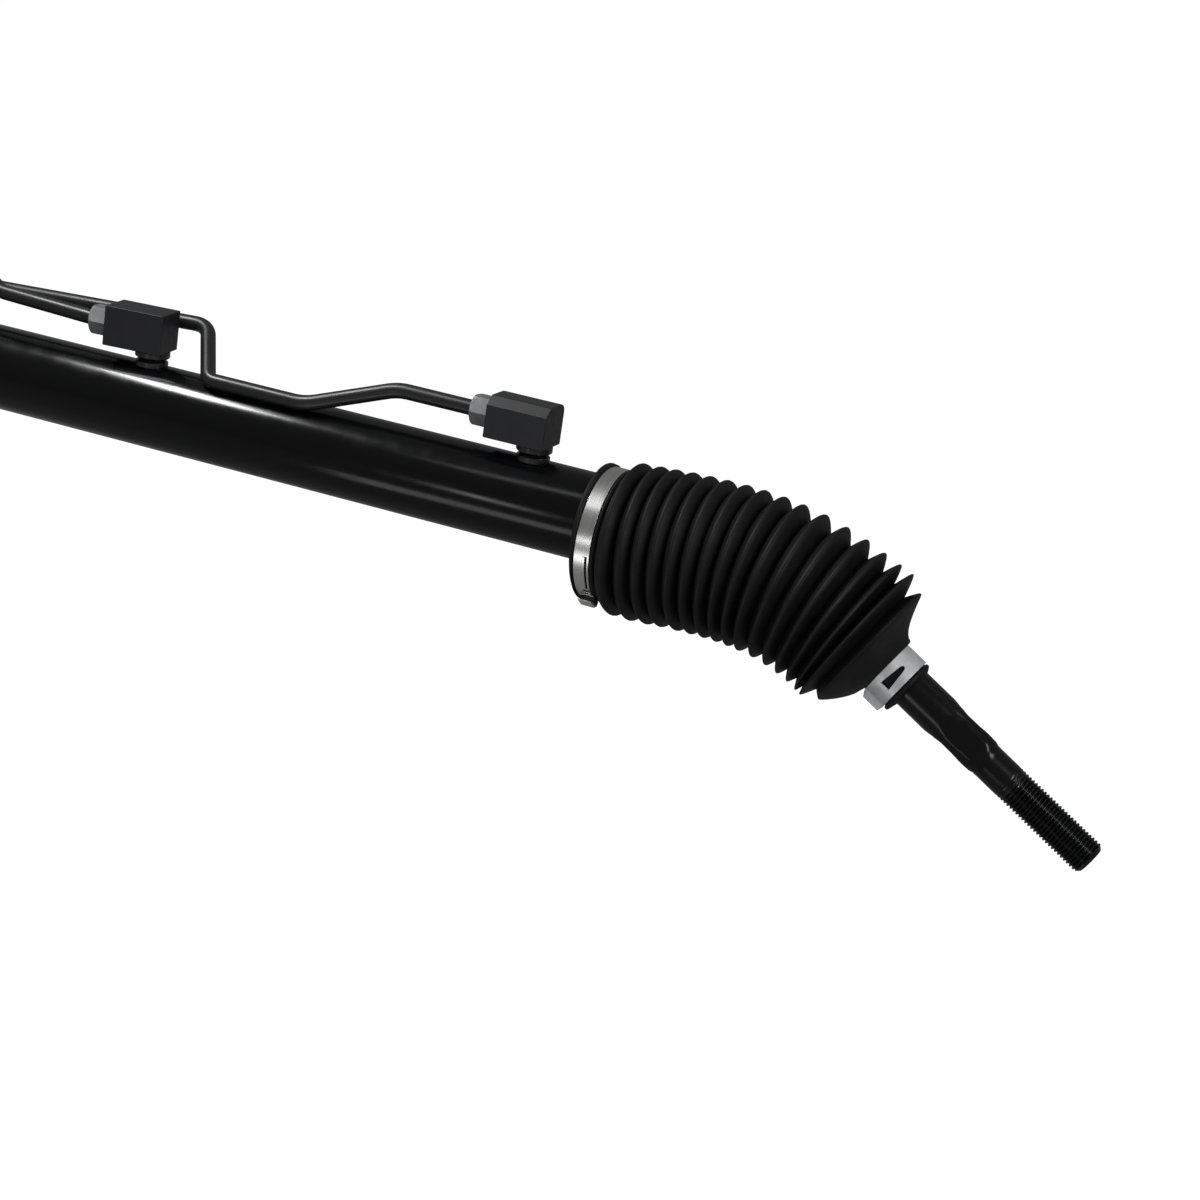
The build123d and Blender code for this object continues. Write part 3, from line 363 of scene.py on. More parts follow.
# Materials, all in object coordinates so that their grain has a real size

class Paint:
    """A node material with short calls for colour, roughness and bump variation."""

    def __init__(self, name, colour, roughness, metallic=0.0):
        self.material = bpy.data.materials.new(name)
        self.material.use_nodes = True
        self.nodes = self.material.node_tree.nodes
        self.links = self.material.node_tree.links
        self.shader = self.nodes["Principled BSDF"]
        self.shader.inputs["Base Color"].default_value = (*colour, 1)
        self.shader.inputs["Roughness"].default_value = roughness
        self.shader.inputs["Metallic"].default_value = metallic
        self.place = self.nodes.new("ShaderNodeTexCoord").outputs["Object"]
        self.colour, self.roughness = colour, roughness

    def set(self, **sockets):
        for name, value in sockets.items():
            self.shader.inputs[name.replace("_", " ")].default_value = value
        return self

    def noise(self, size_mm, stretch=(1, 1, 1)):
        """Noise whose grain is about size_mm across, stretched along some axes."""
        mapping = self.nodes.new("ShaderNodeMapping")
        mapping.inputs["Scale"].default_value = [1 / (size_mm * MM * s) for s in stretch]
        texture = self.nodes.new("ShaderNodeTexNoise")
        texture.inputs["Scale"].default_value = 1.0
        texture.inputs["Detail"].default_value = NOISE_DETAIL
        self.links.new(self.place, mapping.inputs["Vector"])
        self.links.new(mapping.outputs["Vector"], texture.inputs["Vector"])
        return texture.outputs["Fac"]

    def spread(self, source, low, high):
        """Maps noise to a range of values."""
        ramp = self.nodes.new("ShaderNodeMapRange")
        ramp.inputs["From Min"].default_value = NOISE_LOW
        ramp.inputs["From Max"].default_value = NOISE_HIGH
        ramp.inputs["To Min"].default_value = low
        ramp.inputs["To Max"].default_value = high
        self.links.new(source, ramp.inputs["Value"])
        return ramp.outputs["Result"]

    def vary_roughness(self, size_mm, amount, stretch=(1, 1, 1)):
        grain = self.noise(size_mm, stretch)
        value = self.spread(grain, self.roughness - amount, self.roughness + amount)
        self.links.new(value, self.shader.inputs["Roughness"])
        return self

    def vary_colour(self, size_mm, other, stretch=(1, 1, 1)):
        mix = self.nodes.new("ShaderNodeMix")
        mix.data_type = "RGBA"
        mix.inputs["A"].default_value = (*self.colour, 1)
        mix.inputs["B"].default_value = (*other, 1)
        self.links.new(self.spread(self.noise(size_mm, stretch), 0, 1), mix.inputs["Factor"])
        self.links.new(mix.outputs["Result"], self.shader.inputs["Base Color"])
        return self

    def bump(self, size_mm, depth_mm, strength, stretch=(1, 1, 1)):
        node = self.nodes.new("ShaderNodeBump")
        node.inputs["Distance"].default_value = depth_mm * MM
        node.inputs["Strength"].default_value = strength
        self.links.new(self.noise(size_mm, stretch), node.inputs["Height"])
        if self.shader.inputs["Normal"].is_linked:
            self.links.new(self.shader.inputs["Normal"].links[0].from_socket, node.inputs["Normal"])
        self.links.new(node.outputs["Normal"], self.shader.inputs["Normal"])
        return self


def make_materials():
    made = {}
    made["tube"] = Paint("gloss_black_paint", (0.0018, 0.0019, 0.0022), 0.17).set(
        Specular_IOR_Level=0.22
    ).vary_roughness(9, 0.03).bump(1.6, 0.004, 0.5)
    made["block"] = Paint("satin_block_coating", (0.0065, 0.0067, 0.0082), 0.45).set(
        Specular_IOR_Level=0.35
    ).vary_roughness(3, 0.05).vary_colour(5, (0.008, 0.0084, 0.01)).bump(0.5, 0.006, 0.6)
    made["pipe"] = Paint("satin_pipe_coating", (0.0085, 0.0087, 0.0093), 0.38).set(
        Specular_IOR_Level=0.32, Coat_Weight=0.08, Coat_Roughness=0.25
    ).vary_roughness(6, 0.05).bump(0.8, 0.004, 0.5)
    made["rod"] = Paint("rod_paint", (0.0024, 0.0025, 0.0027), 0.22).set(
        Specular_IOR_Level=0.25
    ).vary_roughness(4, 0.05).bump(1.4, 0.005, 0.5).bump(6, 0.02, 0.3)
    made["zinc"] = Paint("zinc_plating", (0.6, 0.605, 0.62), 0.46, 0.55).vary_roughness(
        1.5, 0.06
    ).vary_colour(3, (0.48, 0.485, 0.5)).bump(0.4, 0.004, 0.4)
    made["nut"] = Paint("dull_zinc_plating", (0.2, 0.203, 0.21), 0.48, 0.55).vary_roughness(
        1.5, 0.07
    ).vary_colour(3, (0.15, 0.153, 0.16)).bump(0.4, 0.004, 0.6)
    made["stainless"] = Paint("brushed_stainless", (0.6, 0.6, 0.59), 0.27, 1.0).vary_roughness(
        0.4, 0.03, (1, 60, 60)
    ).vary_colour(0.5, (0.54, 0.54, 0.53), (1, 80, 80)).bump(0.25, 0.002, 0.25, (1, 80, 80))
    made["rubber"] = Paint("bellows_rubber", (0.0024, 0.0024, 0.0026), 0.58).set(
        Specular_IOR_Level=0.22
    ).vary_roughness(5, 0.05).vary_colour(14, (0.0034, 0.0034, 0.0036)).bump(0.35, 0.01, 0.7)
    made["seal"] = Paint("sealing_rubber", (0.02, 0.015, 0.013), 0.5).vary_roughness(
        2, 0.08
    ).bump(0.4, 0.006, 0.6)
    made["casting"] = Paint("cast_aluminium", (0.46, 0.47, 0.48), 0.5, 0.85).vary_roughness(
        4, 0.1
    ).vary_colour(9, (0.36, 0.37, 0.38)).bump(0.7, 0.03, 0.8).bump(5, 0.06, 0.4)
    made["steel"] = Paint("ground_steel", (0.56, 0.57, 0.58), 0.24, 1.0).vary_roughness(
        1.2, 0.06
    ).vary_colour(6, (0.48, 0.49, 0.5)).bump(0.3, 0.002, 0.6)
    made["dark_steel"] = Paint("black_adapter", (0.008, 0.008, 0.0085), 0.3).set(
        Coat_Weight=0.2, Coat_Roughness=0.2
    ).vary_roughness(2, 0.07).bump(0.5, 0.004, 0.5)
    made["bronze"] = Paint("sintered_bronze", (0.42, 0.27, 0.11), 0.42, 0.9).vary_roughness(
        1.2, 0.08
    ).vary_colour(2, (0.33, 0.21, 0.09)).bump(0.3, 0.006, 0.6)
    made["plastic"] = Paint("bearing_plastic", (0.66, 0.63, 0.54), 0.38).set(
        Subsurface_Weight=0.05
    ).vary_roughness(4, 0.05).vary_colour(8, (0.6, 0.57, 0.48)).bump(0.6, 0.003, 0.5)
    return {slot: paint.material for slot, paint in made.items()}


# Bellows

def rod_way():
    return Vector((math.cos(math.radians(DROOP)), 0, -math.sin(math.radians(DROOP))))


def rod_point(distance):
    return Vector((BALL_X, 0, 0)) + rod_way() * distance


def fold_line(count=600):
    """Points of the curve through the folds' middles, at even distances."""
    a = Vector((FIRST_CREST_X, 0, -SEAT_DROP))
    d = rod_point(BELL_START)
    b, c = a + Vector((BEND_NEAR, 0, 0)), d - rod_way() * BEND_FAR
    raw = []
    for i in range(count + 1):
        t = i / count
        raw.append(a * (1 - t) ** 3 + b * 3 * t * (1 - t) ** 2 + c * 3 * t ** 2 * (1 - t) + d * t ** 3)
    reach = [0.0]
    for p, q in zip(raw, raw[1:]):
        reach.append(reach[-1] + (q - p).length)
    return raw, reach


def at_reach(raw, reach, wanted):
    """Point and direction on the curve at a distance from its start."""
    i = min(range(len(reach) - 1), key=lambda k: 0 if reach[k] <= wanted <= reach[k + 1] else 1)
    span = reach[i + 1] - reach[i]
    return raw[i].lerp(raw[i + 1], (wanted - reach[i]) / span), (raw[i + 1] - raw[i]).normalized()


def hoop(centre, way, radius, lean=0.0):
    """Circle square to a direction in the XZ plane, or leaning forward at its top by a slope."""
    up = Vector((-way.z, 0, way.x)) + way * lean
    side = Vector((0, -1, 0))
    ring = []
    for k in range(ROUND_STEPS):
        a = 2 * math.pi * k / ROUND_STEPS
        r = radius(a) if callable(radius) else radius
        ring.append(centre + up * (r * math.cos(a)) + side * (r * math.sin(a)))
    return ring


def fold_height(fold, u):
    """Height of a fold's flank, 0 at the valleys (u = -1, 1) and 1 at the crest (u = 0)."""
    round_one = math.sqrt(max(0.0, 1 - u * u))
    lowest = 1 - math.hypot(1, TIP_ROUNDING)
    sharp_one = (1 - math.hypot(u, TIP_ROUNDING) - lowest) / (1 - TIP_ROUNDING - lowest)
    share = min(1.0, max(0.0, (fold - SHARP_FROM) / (SHARP_TO - SHARP_FROM)))
    return round_one * (1 - share) + sharp_one * share


def cuff_rings():
    """The cuff with its lips, up to the first valley."""
    right = CLAMP_LEFT_X + CLAMP_WIDTH
    end = [
        (CUFF_LEFT_X + 0.9, SEAT_R), (CUFF_LEFT_X + 0.2, SEAT_R + 0.9), (CUFF_LEFT_X, CUFF_R),
        (CUFF_LEFT_X + 0.1, CUFF_END_R - 0.8), (CUFF_LEFT_X + 0.5, CUFF_END_R - 0.2),
        (CUFF_LEFT_X + 0.9, CUFF_END_R),
    ]
    rest = [
        (CLAMP_LEFT_X - 0.5, CUFF_END_R - 0.2), (CLAMP_LEFT_X - 0.1, CUFF_END_R - 0.9),
        (CLAMP_LEFT_X, CUFF_R), (right, CUFF_R),
        (right + 0.3, CUFF_LIP_R - 0.1), (right + 0.9, CUFF_LIP_R), (right + 1.5, CUFF_LIP_R - 0.4),
    ]
    rings = []
    for outline, lean in ((end, CUFF_END_LEAN), (rest, 0.0)):
        for x, r in outline:
            rings.append(hoop(Vector((x, 0, -SEAT_DROP)), Vector((1, 0, 0)), r, lean=lean))
    return rings


def between_folds(values, fold, u):
    """Value of a table of crests at a place between two of them; the cuff's own value is 0."""
    ends = [0.0] + values + values[-1:]
    low, high = (ends[fold], ends[fold + 1]) if u < 0 else (ends[fold + 1], ends[fold + 2])
    if fold == 0 and u < 0:
        return high * (1 + u)
    share = (u + 2) / 2 if u < 0 else u / 2
    return low + (high - low) * share


def fold_rings():
    """Rings from the first valley to the last crest, and the index at which each fold starts."""
    raw, reach = fold_line()
    step = reach[-1] / (CREST_COUNT - 1)
    rings, starts = [], []
    for fold in range(CREST_COUNT):
        starts.append(len(rings))
        for s in range(FOLD_RINGS // 2 + 1 if fold == CREST_COUNT - 1 else FOLD_RINGS):
            u = -1 + 2 * s / FOLD_RINGS
            valley = fold if u > 0 else fold - 1
            low_r, low_lift = FIRST_VALLEY_R, 0.0
            if valley >= 0:
                low_r, low_lift = VALLEY_RADII[valley], VALLEY_LIFTS[valley]
            height = fold_height(fold, u)
            radius = low_r + (CREST_RADII[fold] - low_r) * height
            lift = low_lift + (CREST_LIFTS[fold] - low_lift) * height
            lean = between_folds(CREST_LEANS, fold, u) / CREST_RADII[fold]
            along = (fold + u / 2) * step
            if fold == 0 and u < 0:
                along = u * (FIRST_CREST_X - FIRST_VALLEY_X)
            along += between_folds(CREST_SHIFTS, fold, u)
            if along <= 0:
                centre, way = raw[0] + Vector((along, 0, 0)), Vector((1, 0, 0))
            else:
                centre, way = at_reach(raw, reach, along)
            rings.append(hoop(centre + Vector((-way.z, 0, way.x)) * lift, way, radius, lean=lean))
    return rings, starts


def bell_radius(share):
    """Radius at a share of the bell's length, hollow above and full below."""
    middle = (BELL_HOLLOW_TOP + BELL_HOLLOW_FOOT) / 2
    swing = (BELL_HOLLOW_TOP - BELL_HOLLOW_FOOT) / 2
    fallen = (math.hypot(share, BELL_TIP) - BELL_TIP) / (math.hypot(1, BELL_TIP) - BELL_TIP)

    def at(angle):
        hollow = middle + swing * math.cos(angle - math.radians(BELL_TOP_TURN))
        return BELL_END_R + (CREST_RADII[-1] - BELL_END_R) * max(0.0, 1 - fallen) ** hollow
    return at


def bell_rings():
    """The bell beyond the last crest, the neck and its lip."""
    start, lift = BELL_START + CREST_SHIFTS[-1], CREST_LIFTS[-1]
    rings = []
    for share in BELL_SHARES:
        drop = BELL_DROP * share - lift * (1 - share)
        rings.append((start + (BELL_END - start) * share, bell_radius(share), drop))
    rings += [
        (NECK_START, BELL_END_R - 0.6, BELL_DROP), (NECK_START, NECK_R, NECK_DROP),
        (NECK_END - NECK_LIP, NECK_R, NECK_DROP), (NECK_END - NECK_LIP + 0.3, NECK_LIP_R - 0.2, NECK_DROP),
        (NECK_END - 1.2, NECK_LIP_R, NECK_DROP), (NECK_END - 0.4, NECK_LIP_R, NECK_DROP),
        (NECK_END, NECK_LIP_R - 0.5, NECK_DROP), (NECK_END + NECK_CONE, ROD_R + 0.3, 0.0),
    ]
    below = Vector((rod_way().z, 0, -rod_way().x))
    return [hoop(rod_point(d) + below * drop, rod_way(), r) for d, r, drop in rings]


def ring_tilt(ring):
    """How far a ring leans down from standing square to X, in degrees."""
    top, low = max(ring, key=lambda p: p.z), min(ring, key=lambda p: p.z)
    return math.degrees(math.atan2(top.x - low.x, top.z - low.z))


def blend_between(obj, ring_a, ring_b, side):
    """Works out a direction from the tilts of two rings, mirrored on the left side, but leaves it unused; it
    only bakes the piece's placement into its mesh.
    """
    angle = math.radians((ring_tilt(ring_a) + ring_tilt(ring_b)) / 2)
    way = Vector((math.cos(angle), 0, -math.sin(angle)))
    if side == "left":
        way.x = -way.x
        ring_a = [Vector((2 * MID_X - p.x, p.y, p.z)) for p in ring_a]
        ring_b = [Vector((2 * MID_X - p.x, p.y, p.z)) for p in ring_b]
    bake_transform(obj)


def bellows(side, material):
    """Three pieces in a row, named for the slide, the vertical swing and the fore and aft swing; none is
    attached to a body or made to bend.
    """
    folds, starts = fold_rings()
    cut, last = starts[SLIDE_FOLDS], starts[CREST_COUNT - 1]
    bell, bell_end = bell_rings(), len(BELL_SHARES) - 1
    seat, rod = f"ball_seat_{side}", f"tie_rod_{side}"
    spans = [
        ("slide", cuff_rings() + folds[:cut + 1], folds[0], folds[cut], "housing", "rack"),
        ("swing", folds[cut:last + 1], folds[cut], folds[last], "rack", seat),
        ("bell", folds[last:] + bell, folds[last], bell[bell_end], seat, rod),
    ]
    for kind, rings, ring_a, ring_b, body_a, body_b in spans:
        obj = skin(f"bellows_{kind}_{side}", rings, caps=False, sharp_angle=75.0)
        if side == "left":
            obj = swap_side(obj)
        blend_between(obj, ring_a, ring_b, side)
        obj.data.materials.append(material)
        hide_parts(f"bellows_{side}")


# Clamps

def strip(name, profile, width, place):
    """Prism from a closed (y, z) outline, as wide as given along X, with both ends' edges broken."""
    rings = []
    half = width / 2
    for x in (-half, -half + STRIP_EDGE, half - STRIP_EDGE, half):
        inset = STRIP_INSET if abs(x) == half else 0.0
        rings.append([place @ Vector((x, y, z)) for y, z in inset_outline(profile, inset)])
    return skin(name, rings, sharp_angle=40.0)


def inset_outline(outline, inset):
    """Outline pulled in a little towards its middle."""
    middle = sum((Vector(p) for p in outline), Vector((0, 0))) / len(outline)
    return [tuple(Vector(p) + (middle - Vector(p)).normalized() * inset) for p in outline]


def arc_strip(name, radius, thick, start, end, width, place, steps=14):
    """Strip that follows a circle about X from one angle to another."""
    outer, inner = [], []
    for s in range(steps + 1):
        a = math.radians(start + (end - start) * s / steps)
        outer.append(((radius + thick) * math.sin(a), (radius + thick) * math.cos(a)))
        inner.append((radius * math.sin(a), radius * math.cos(a)))
    return strip(name, outer + inner[::-1], width, place)


def pierced_band(name, ends, inner, turn, span, sides, place):
    """Band about X with one opening, which starts at an angle from the top and spans another.

    sides gives the opening's two edges at a share of the way along it.
    """
    angles = [turn + span * k / WINDOW_STEPS for k in range(WINDOW_STEPS + 1)]
    angles += [turn + span + (360 - span) * k / ROUND_STEPS for k in range(1, ROUND_STEPS)]
    points = []
    # Eight points at each angle: four across the inner side, then four across the outer side
    for angle in angles:
        a = math.radians(angle)
        share = (angle - turn) / span
        left, right = sides(share if share <= 1 else (turn + 360 - angle) / (360 - span))
        for r in (inner, inner + CLAMP_THICK):
            for x in (ends[0], left, right, ends[1]):
                points.append((place @ Vector((x, -r * math.sin(a), r * math.cos(a)))) * MM)
    faces = []
    for k in range(len(angles)):
        here, there = 8 * k, 8 * ((k + 1) % len(angles))
        is_open = k < WINDOW_STEPS
        for c in (0, 1, 2):
            if c == 1 and is_open:
                continue
            for low in (c, c + 4):
                faces.append((here + low, here + low + 1, there + low + 1, there + low))
        for c in (0, 3) + ((1, 2) if is_open else ()):
            faces.append((here + c, here + c + 4, there + c + 4, there + c))
    for k in (0, WINDOW_STEPS):
        faces.append((8 * k + 1, 8 * k + 2, 8 * k + 6, 8 * k + 5))
    mesh = bpy.data.meshes.new(name)
    mesh.from_pydata(points, [], faces)
    soften(mesh, 32.0)
    return new_object(name, mesh)


def large_clamp(side, material, shade_block_material):
    """Band with a slot, a raised tongue beside it and a hook whose mouth faces up and forward, with a dark
    block set in that mouth as painted shade.
    """
    inner = CUFF_R + CLAMP_GAP
    outer = inner + CLAMP_THICK
    drop = Matrix.Translation((0, 0, -SEAT_DROP))
    ends = (CLAMP_LEFT_X + CLAMP_GAP, CLAMP_LEFT_X + CLAMP_WIDTH - CLAMP_GAP)
    band = pierced_band(
        "band", ends, inner, SLOT_START, SLOT_END - SLOT_START,
        lambda share: (SLOT_RIGHT_X - SLOT_WIDTH, SLOT_RIGHT_X), drop,
    )
    tongue_width = SLOT_RIGHT_X - SLOT_WIDTH - SLOT_LEFT_X
    at_tongue = Matrix.Translation((SLOT_LEFT_X + tongue_width / 2, 0, -SEAT_DROP))
    tongue = arc_strip(
        "tongue", outer - TONGUE_SINK, TONGUE_THICK, -SLOT_END, -SLOT_START, tongue_width, at_tongue,
    )
    hook_width = HOOK_RIGHT_X - HOOK_LEFT_X
    to_hook = Matrix.Translation((HOOK_LEFT_X + hook_width / 2, 0, -SEAT_DROP))
    at_hook = to_hook @ Matrix.Rotation(math.radians(HOOK_TURN), 4, "X")
    hook = strip("hook", [(y, outer + rise) for y, rise in HOOK_OUTLINE], hook_width, at_hook)
    # A dark block fills the hook's mouth, as painted shade of the gap between its layers
    at_shade_block = Matrix.Translation((SHADE_BLOCK_SHIFT, 0, 0)) @ at_hook
    shade_block_name = f"large_clamp_shade_block_{side}"
    shade_block = strip(shade_block_name, [(y, outer + rise) for y, rise in SHADE_BLOCK_OUTLINE], hook_width, at_shade_block)
    obj = join(f"large_clamp_{side}_piece", [band, tongue, hook])
    if side == "left":
        obj, shade_block = swap_side(obj), swap_side(shade_block)
    bevelled(obj, CLAMP_EDGE, 2)
    finish_piece(shade_block, "housing", shade_block_material, "dark_steel", f"large_clamp_{side}")
    return finish_piece(obj, "housing", material, "stainless", f"large_clamp_{side}")


def rod_place():
    return Matrix.Translation((BALL_X, 0, 0)) @ Matrix.Rotation(math.radians(DROOP), 4, "Y")


def window_sides(share):
    """Edges of the small clamp's tapered window, whose narrow end is round."""
    middle = SMALL_CLAMP_START + SMALL_CLAMP_WIDTH / 2
    half = (WINDOW_NARROW + (WINDOW_WIDE - WINDOW_NARROW) * share) / 2
    rounding = 1 - min(1.0, share / WINDOW_ROUND)
    half *= max(WINDOW_BLUNT, math.sqrt(1 - rounding * rounding))
    return middle - half, middle + half


def small_clamp(side, material):
    """Band with a tapered window and one raised ear, a little below the tie rod's axis."""
    place = rod_place() @ Matrix.Translation((0, 0, -NECK_DROP))
    ends = (SMALL_CLAMP_START, SMALL_CLAMP_START + SMALL_CLAMP_WIDTH)
    band = pierced_band("band", ends, SMALL_CLAMP_R, WINDOW_TURN, WINDOW_SPAN, window_sides, place)
    outer = SMALL_CLAMP_R + CLAMP_THICK
    to_ear = place @ Matrix.Translation((sum(ends) / 2, 0, 0))
    at_ear = to_ear @ Matrix.Rotation(math.radians(EAR_TURN), 4, "X")
    foot, foot_z, crown = EAR_FOOT_ARC / 2, outer - EAR_FOOT_SINK, EAR_CROWN_ARC / 2
    rings = []
    for x, rise in (
        (-SMALL_CLAMP_WIDTH / 2, EAR_EDGE_RISE), (EAR_SHIFT - EAR_CROWN_RUN / 2, EAR_RISE),
        (EAR_SHIFT + EAR_CROWN_RUN / 2, EAR_RISE), (SMALL_CLAMP_WIDTH / 2, EAR_EDGE_RISE),
    ):
        outline = ((foot, foot_z), (crown, outer + rise), (-crown, outer + rise), (-foot, foot_z))
        rings.append([at_ear @ Vector((x, y, z)) for y, z in outline])
    obj = join(f"small_clamp_{side}_piece", [band, skin("ear", rings, sharp_angle=20.0)])
    if side == "left":
        obj = swap_side(obj)
    bevelled(obj, CLAMP_EDGE, 2)
    return finish_piece(obj, f"tie_rod_{side}", material, "zinc", f"small_clamp_{side}")


# Tie rod

def between(stations, x):
    """Value at x from a table of places and values, eased from each to the next."""
    if x <= stations[0][0]:
        return stations[0][1]
    for (xa, va), (xb, vb) in zip(stations, stations[1:]):
        if x <= xb:
            t = (x - xa) / (xb - xa)
            return va + (vb - va) * t * t * (3 - 2 * t)
    return stations[-1][1]


def thread_radius(x, angle):
    """Triangular thread with flat crests, fading in along its first turns."""
    phase = (x / THREAD_PITCH - angle / (2 * math.pi)) % 1.0
    ridge = min(1.0, THREAD_FLANK * min(phase, 1 - phase))
    fade = min(1.0, max(0.0, (x - THREAD_START) / THREAD_RUN_OUT))
    crest = SHANK_R + (THREAD_R - SHANK_R) * fade
    chamfer = max(0.0, x - (ROD_END - ROD_END_CHAMFER))
    return min(crest - THREAD_DEPTH * (1 - ridge) * fade, THREAD_R - chamfer)


def rod_radius(x):
    """Radius as a function of the angle, with four wrench flats, a parting line and the thread."""
    turned = between(ROD_OUTLINE, x)
    has_flats = FLAT_HALVES[0][0] < x < FLAT_HALVES[-1][0]
    half = between(FLAT_HALVES, x)

    def at(angle):
        if x >= THREAD_START:
            return thread_radius(x, angle)
        if has_flats:
            turn = angle - math.radians(FLATS_TURN)
            flat = half / max(abs(math.cos(turn)), abs(math.sin(turn)))
            return -EDGE_BLEND * math.log(math.exp(-turned / EDGE_BLEND) + math.exp(-flat / EDGE_BLEND))
        off = (math.degrees(angle) - SEAM_TURN) / SEAM_WIDTH
        return turned + (SEAM_RISE * math.exp(-off * off) if x > SHANK_START else 0.0)
    return at


def tie_rod(side, material):
    ball_exit = math.sqrt(BALL_R ** 2 - ROD_NECK_R ** 2)
    steps = SMALL_STEPS * 2
    place = rod_place()
    ball_xs = [-BALL_R * math.cos(math.pi * i / BALL_STEPS) for i in range(1, BALL_STEPS)]
    rings = []
    for x in [-BALL_R + 0.02] + [x for x in ball_xs if x < ball_exit]:
        rings.append(ring_about_x(x, math.sqrt(max(0.01, BALL_R ** 2 - x * x)), steps))
    x = ball_exit
    while x < ROD_END:
        rings.append(ring_about_x(x, rod_radius(x), steps))
        x += THREAD_PITCH / THREAD_STEPS if x >= THREAD_START else ROD_STEP
    rings.append(ring_about_x(ROD_END, THREAD_R - ROD_END_CHAMFER, steps))
    obj = skin(f"tie_rod_{side}_piece", [[place @ p for p in ring] for ring in rings], sharp_angle=38.0)
    if side == "left":
        obj = swap_side(obj)
    return finish_piece(obj, f"tie_rod_{side}", material, "rod", f"tie_rod_{side}")


# Tube, blocks, unions, nuts and pipes

def tube(material):
    outline = rounded_profile([
        (TUBE_LEFT_X, TUBE_BORE_R), (TUBE_RIGHT_X, TUBE_BORE_R), (TUBE_RIGHT_X, TUBE_R), (TUBE_LEFT_X, TUBE_R)
    ], TUBE_EDGE, 3)
    obj = lathe("cylinder_tube_piece", outline, steps=TUBE_STEPS, wrap=True)
    return finish_piece(obj, "housing", material, "tube", "cylinder_tube")


def bevelled(obj, width, segments=3):
    """Rounds the sharp edges of a piece by a modifier."""
    modifier = obj.modifiers.new("edges", "BEVEL")
    modifier.width = width * MM
    modifier.segments = segments
    modifier.limit_method = "ANGLE"
    modifier.angle_limit = math.radians(25)
    modifier.harden_normals = True
    return obj


def block_place(port_x, turn):
    return Matrix.Translation((port_x, 0, 0)) @ Matrix.Rotation(math.radians(turn), 4, "Z")


def port_block(name, port_x, turn, chamfered, material):
    """Block over a port; the outer one has its front edge cut and its back edge rounded."""
    half = BLOCK_WIDTH / 2
    outline = [(-half, BLOCK_BOTTOM_Z), (half, BLOCK_BOTTOM_Z)]
    if chamfered:
        for s in range(BLOCK_ROUND_STEPS + 1):
            a = math.radians(90 * s / BLOCK_ROUND_STEPS)
            outline.append((
                half - BLOCK_ROUND + BLOCK_ROUND * math.cos(a),
                BLOCK_TOP_Z - BLOCK_ROUND + BLOCK_ROUND * math.sin(a),
            ))
        outline += [(BLOCK_CHAMFER_Y - half, BLOCK_TOP_Z), (-half, BLOCK_TOP_Z - BLOCK_CHAMFER_Z)]
    else:
        outline += [(half, BLOCK_TOP_Z), (-half, BLOCK_TOP_Z)]
    place = block_place(port_x, turn)
    x1 = -BLOCK_UNION_OFFSET + BLOCK_LENGTH / 2
    rings = [[place @ Vector((x, y, z)) for y, z in outline] for x in (x1 - BLOCK_LENGTH, x1)]
    obj = bevelled(skin(f"{name}_piece", rings, sharp_angle=20.0), BLOCK_EDGE)
    return finish_piece(obj, "housing", material, "block", name)


def union(port_x, turn):
    """Round adapter below a block: collar, thread-like waist and foot."""
    collar_low = BLOCK_BOTTOM_Z - UNION_COLLAR
    foot_top = TUBE_R + (collar_low - TUBE_R) / 2
    profile = [
        (TUBE_BORE_R + UNION_START, UNION_FOOT_R), (foot_top - UNION_EDGE, UNION_FOOT_R),
        (foot_top, UNION_FOOT_R - UNION_EDGE),
    ]
    for s in range(UNION_RIDGE_STEPS + 1):
        h = foot_top + (collar_low - foot_top) * s / UNION_RIDGE_STEPS
        profile.append((h, UNION_WAIST_R + (UNION_RIDGE if s % 2 else 0.0)))
    profile += [
        (collar_low, UNION_COLLAR_R - UNION_TOP_EDGE), (collar_low + UNION_TOP_EDGE, UNION_COLLAR_R),
        (BLOCK_BOTTOM_Z - UNION_TOP_EDGE, UNION_COLLAR_R), (BLOCK_BOTTOM_Z, UNION_COLLAR_R - UNION_EDGE),
    ]
    upright = block_place(port_x, turn) @ Matrix.Rotation(math.radians(-90), 4, "Y")
    return lathe("union", profile, upright)


def nut(name, place):
    """Hexagonal union nut along X, ending at the face it is screwed into."""
    corner = NUT_ACROSS / math.sqrt(3)

    def hexagon(angle, limit):
        a = (angle + math.pi / 6) % (math.pi / 3) - math.pi / 6
        return min(limit, NUT_ACROSS / 2 / math.cos(a))

    sections = [
        (0.0, corner - NUT_BEVEL * 0.55), (0.35, corner - NUT_BEVEL * 0.25), (0.9, corner), (2.0, corner + 1),
        (NUT_LENGTH - 0.1, corner + 1), (NUT_LENGTH, corner - 0.15),
    ]
    rings = [
        ring_about_x(0.4 - NUT_LENGTH, PIPE_R + NUT_MOUTH, NUT_STEPS),
        ring_about_x(-NUT_LENGTH, PIPE_R + NUT_RIM, NUT_STEPS),
    ]
    for x, limit in sections:
        rings.append(ring_about_x(x - NUT_LENGTH, lambda a, lim=limit: hexagon(a, lim), NUT_STEPS))
    return skin(name, [[place @ p for p in ring] for ring in rings], sharp_angle=24.0)


def route(points, bends):
    """Straight runs with tangent bends of the given radii between them."""
    path = [points[0]]
    for before, here, after, bend in zip(points, points[1:], points[2:], bends):
        a, b = (before - here).normalized(), (after - here).normalized()
        half = a.angle(b) / 2
        cut = bend / math.tan(half)
        centre = here + (a + b).normalized() * (bend / math.sin(half))
        first, last = here + a * cut - centre, here + b * cut - centre
        axis, turn = first.cross(last), first.angle(last)
        for s in range(BEND_STEPS + 1):
            path.append(centre + Matrix.Rotation(turn * s / BEND_STEPS, 3, axis) @ first)
    path.append(points[-1])
    return path


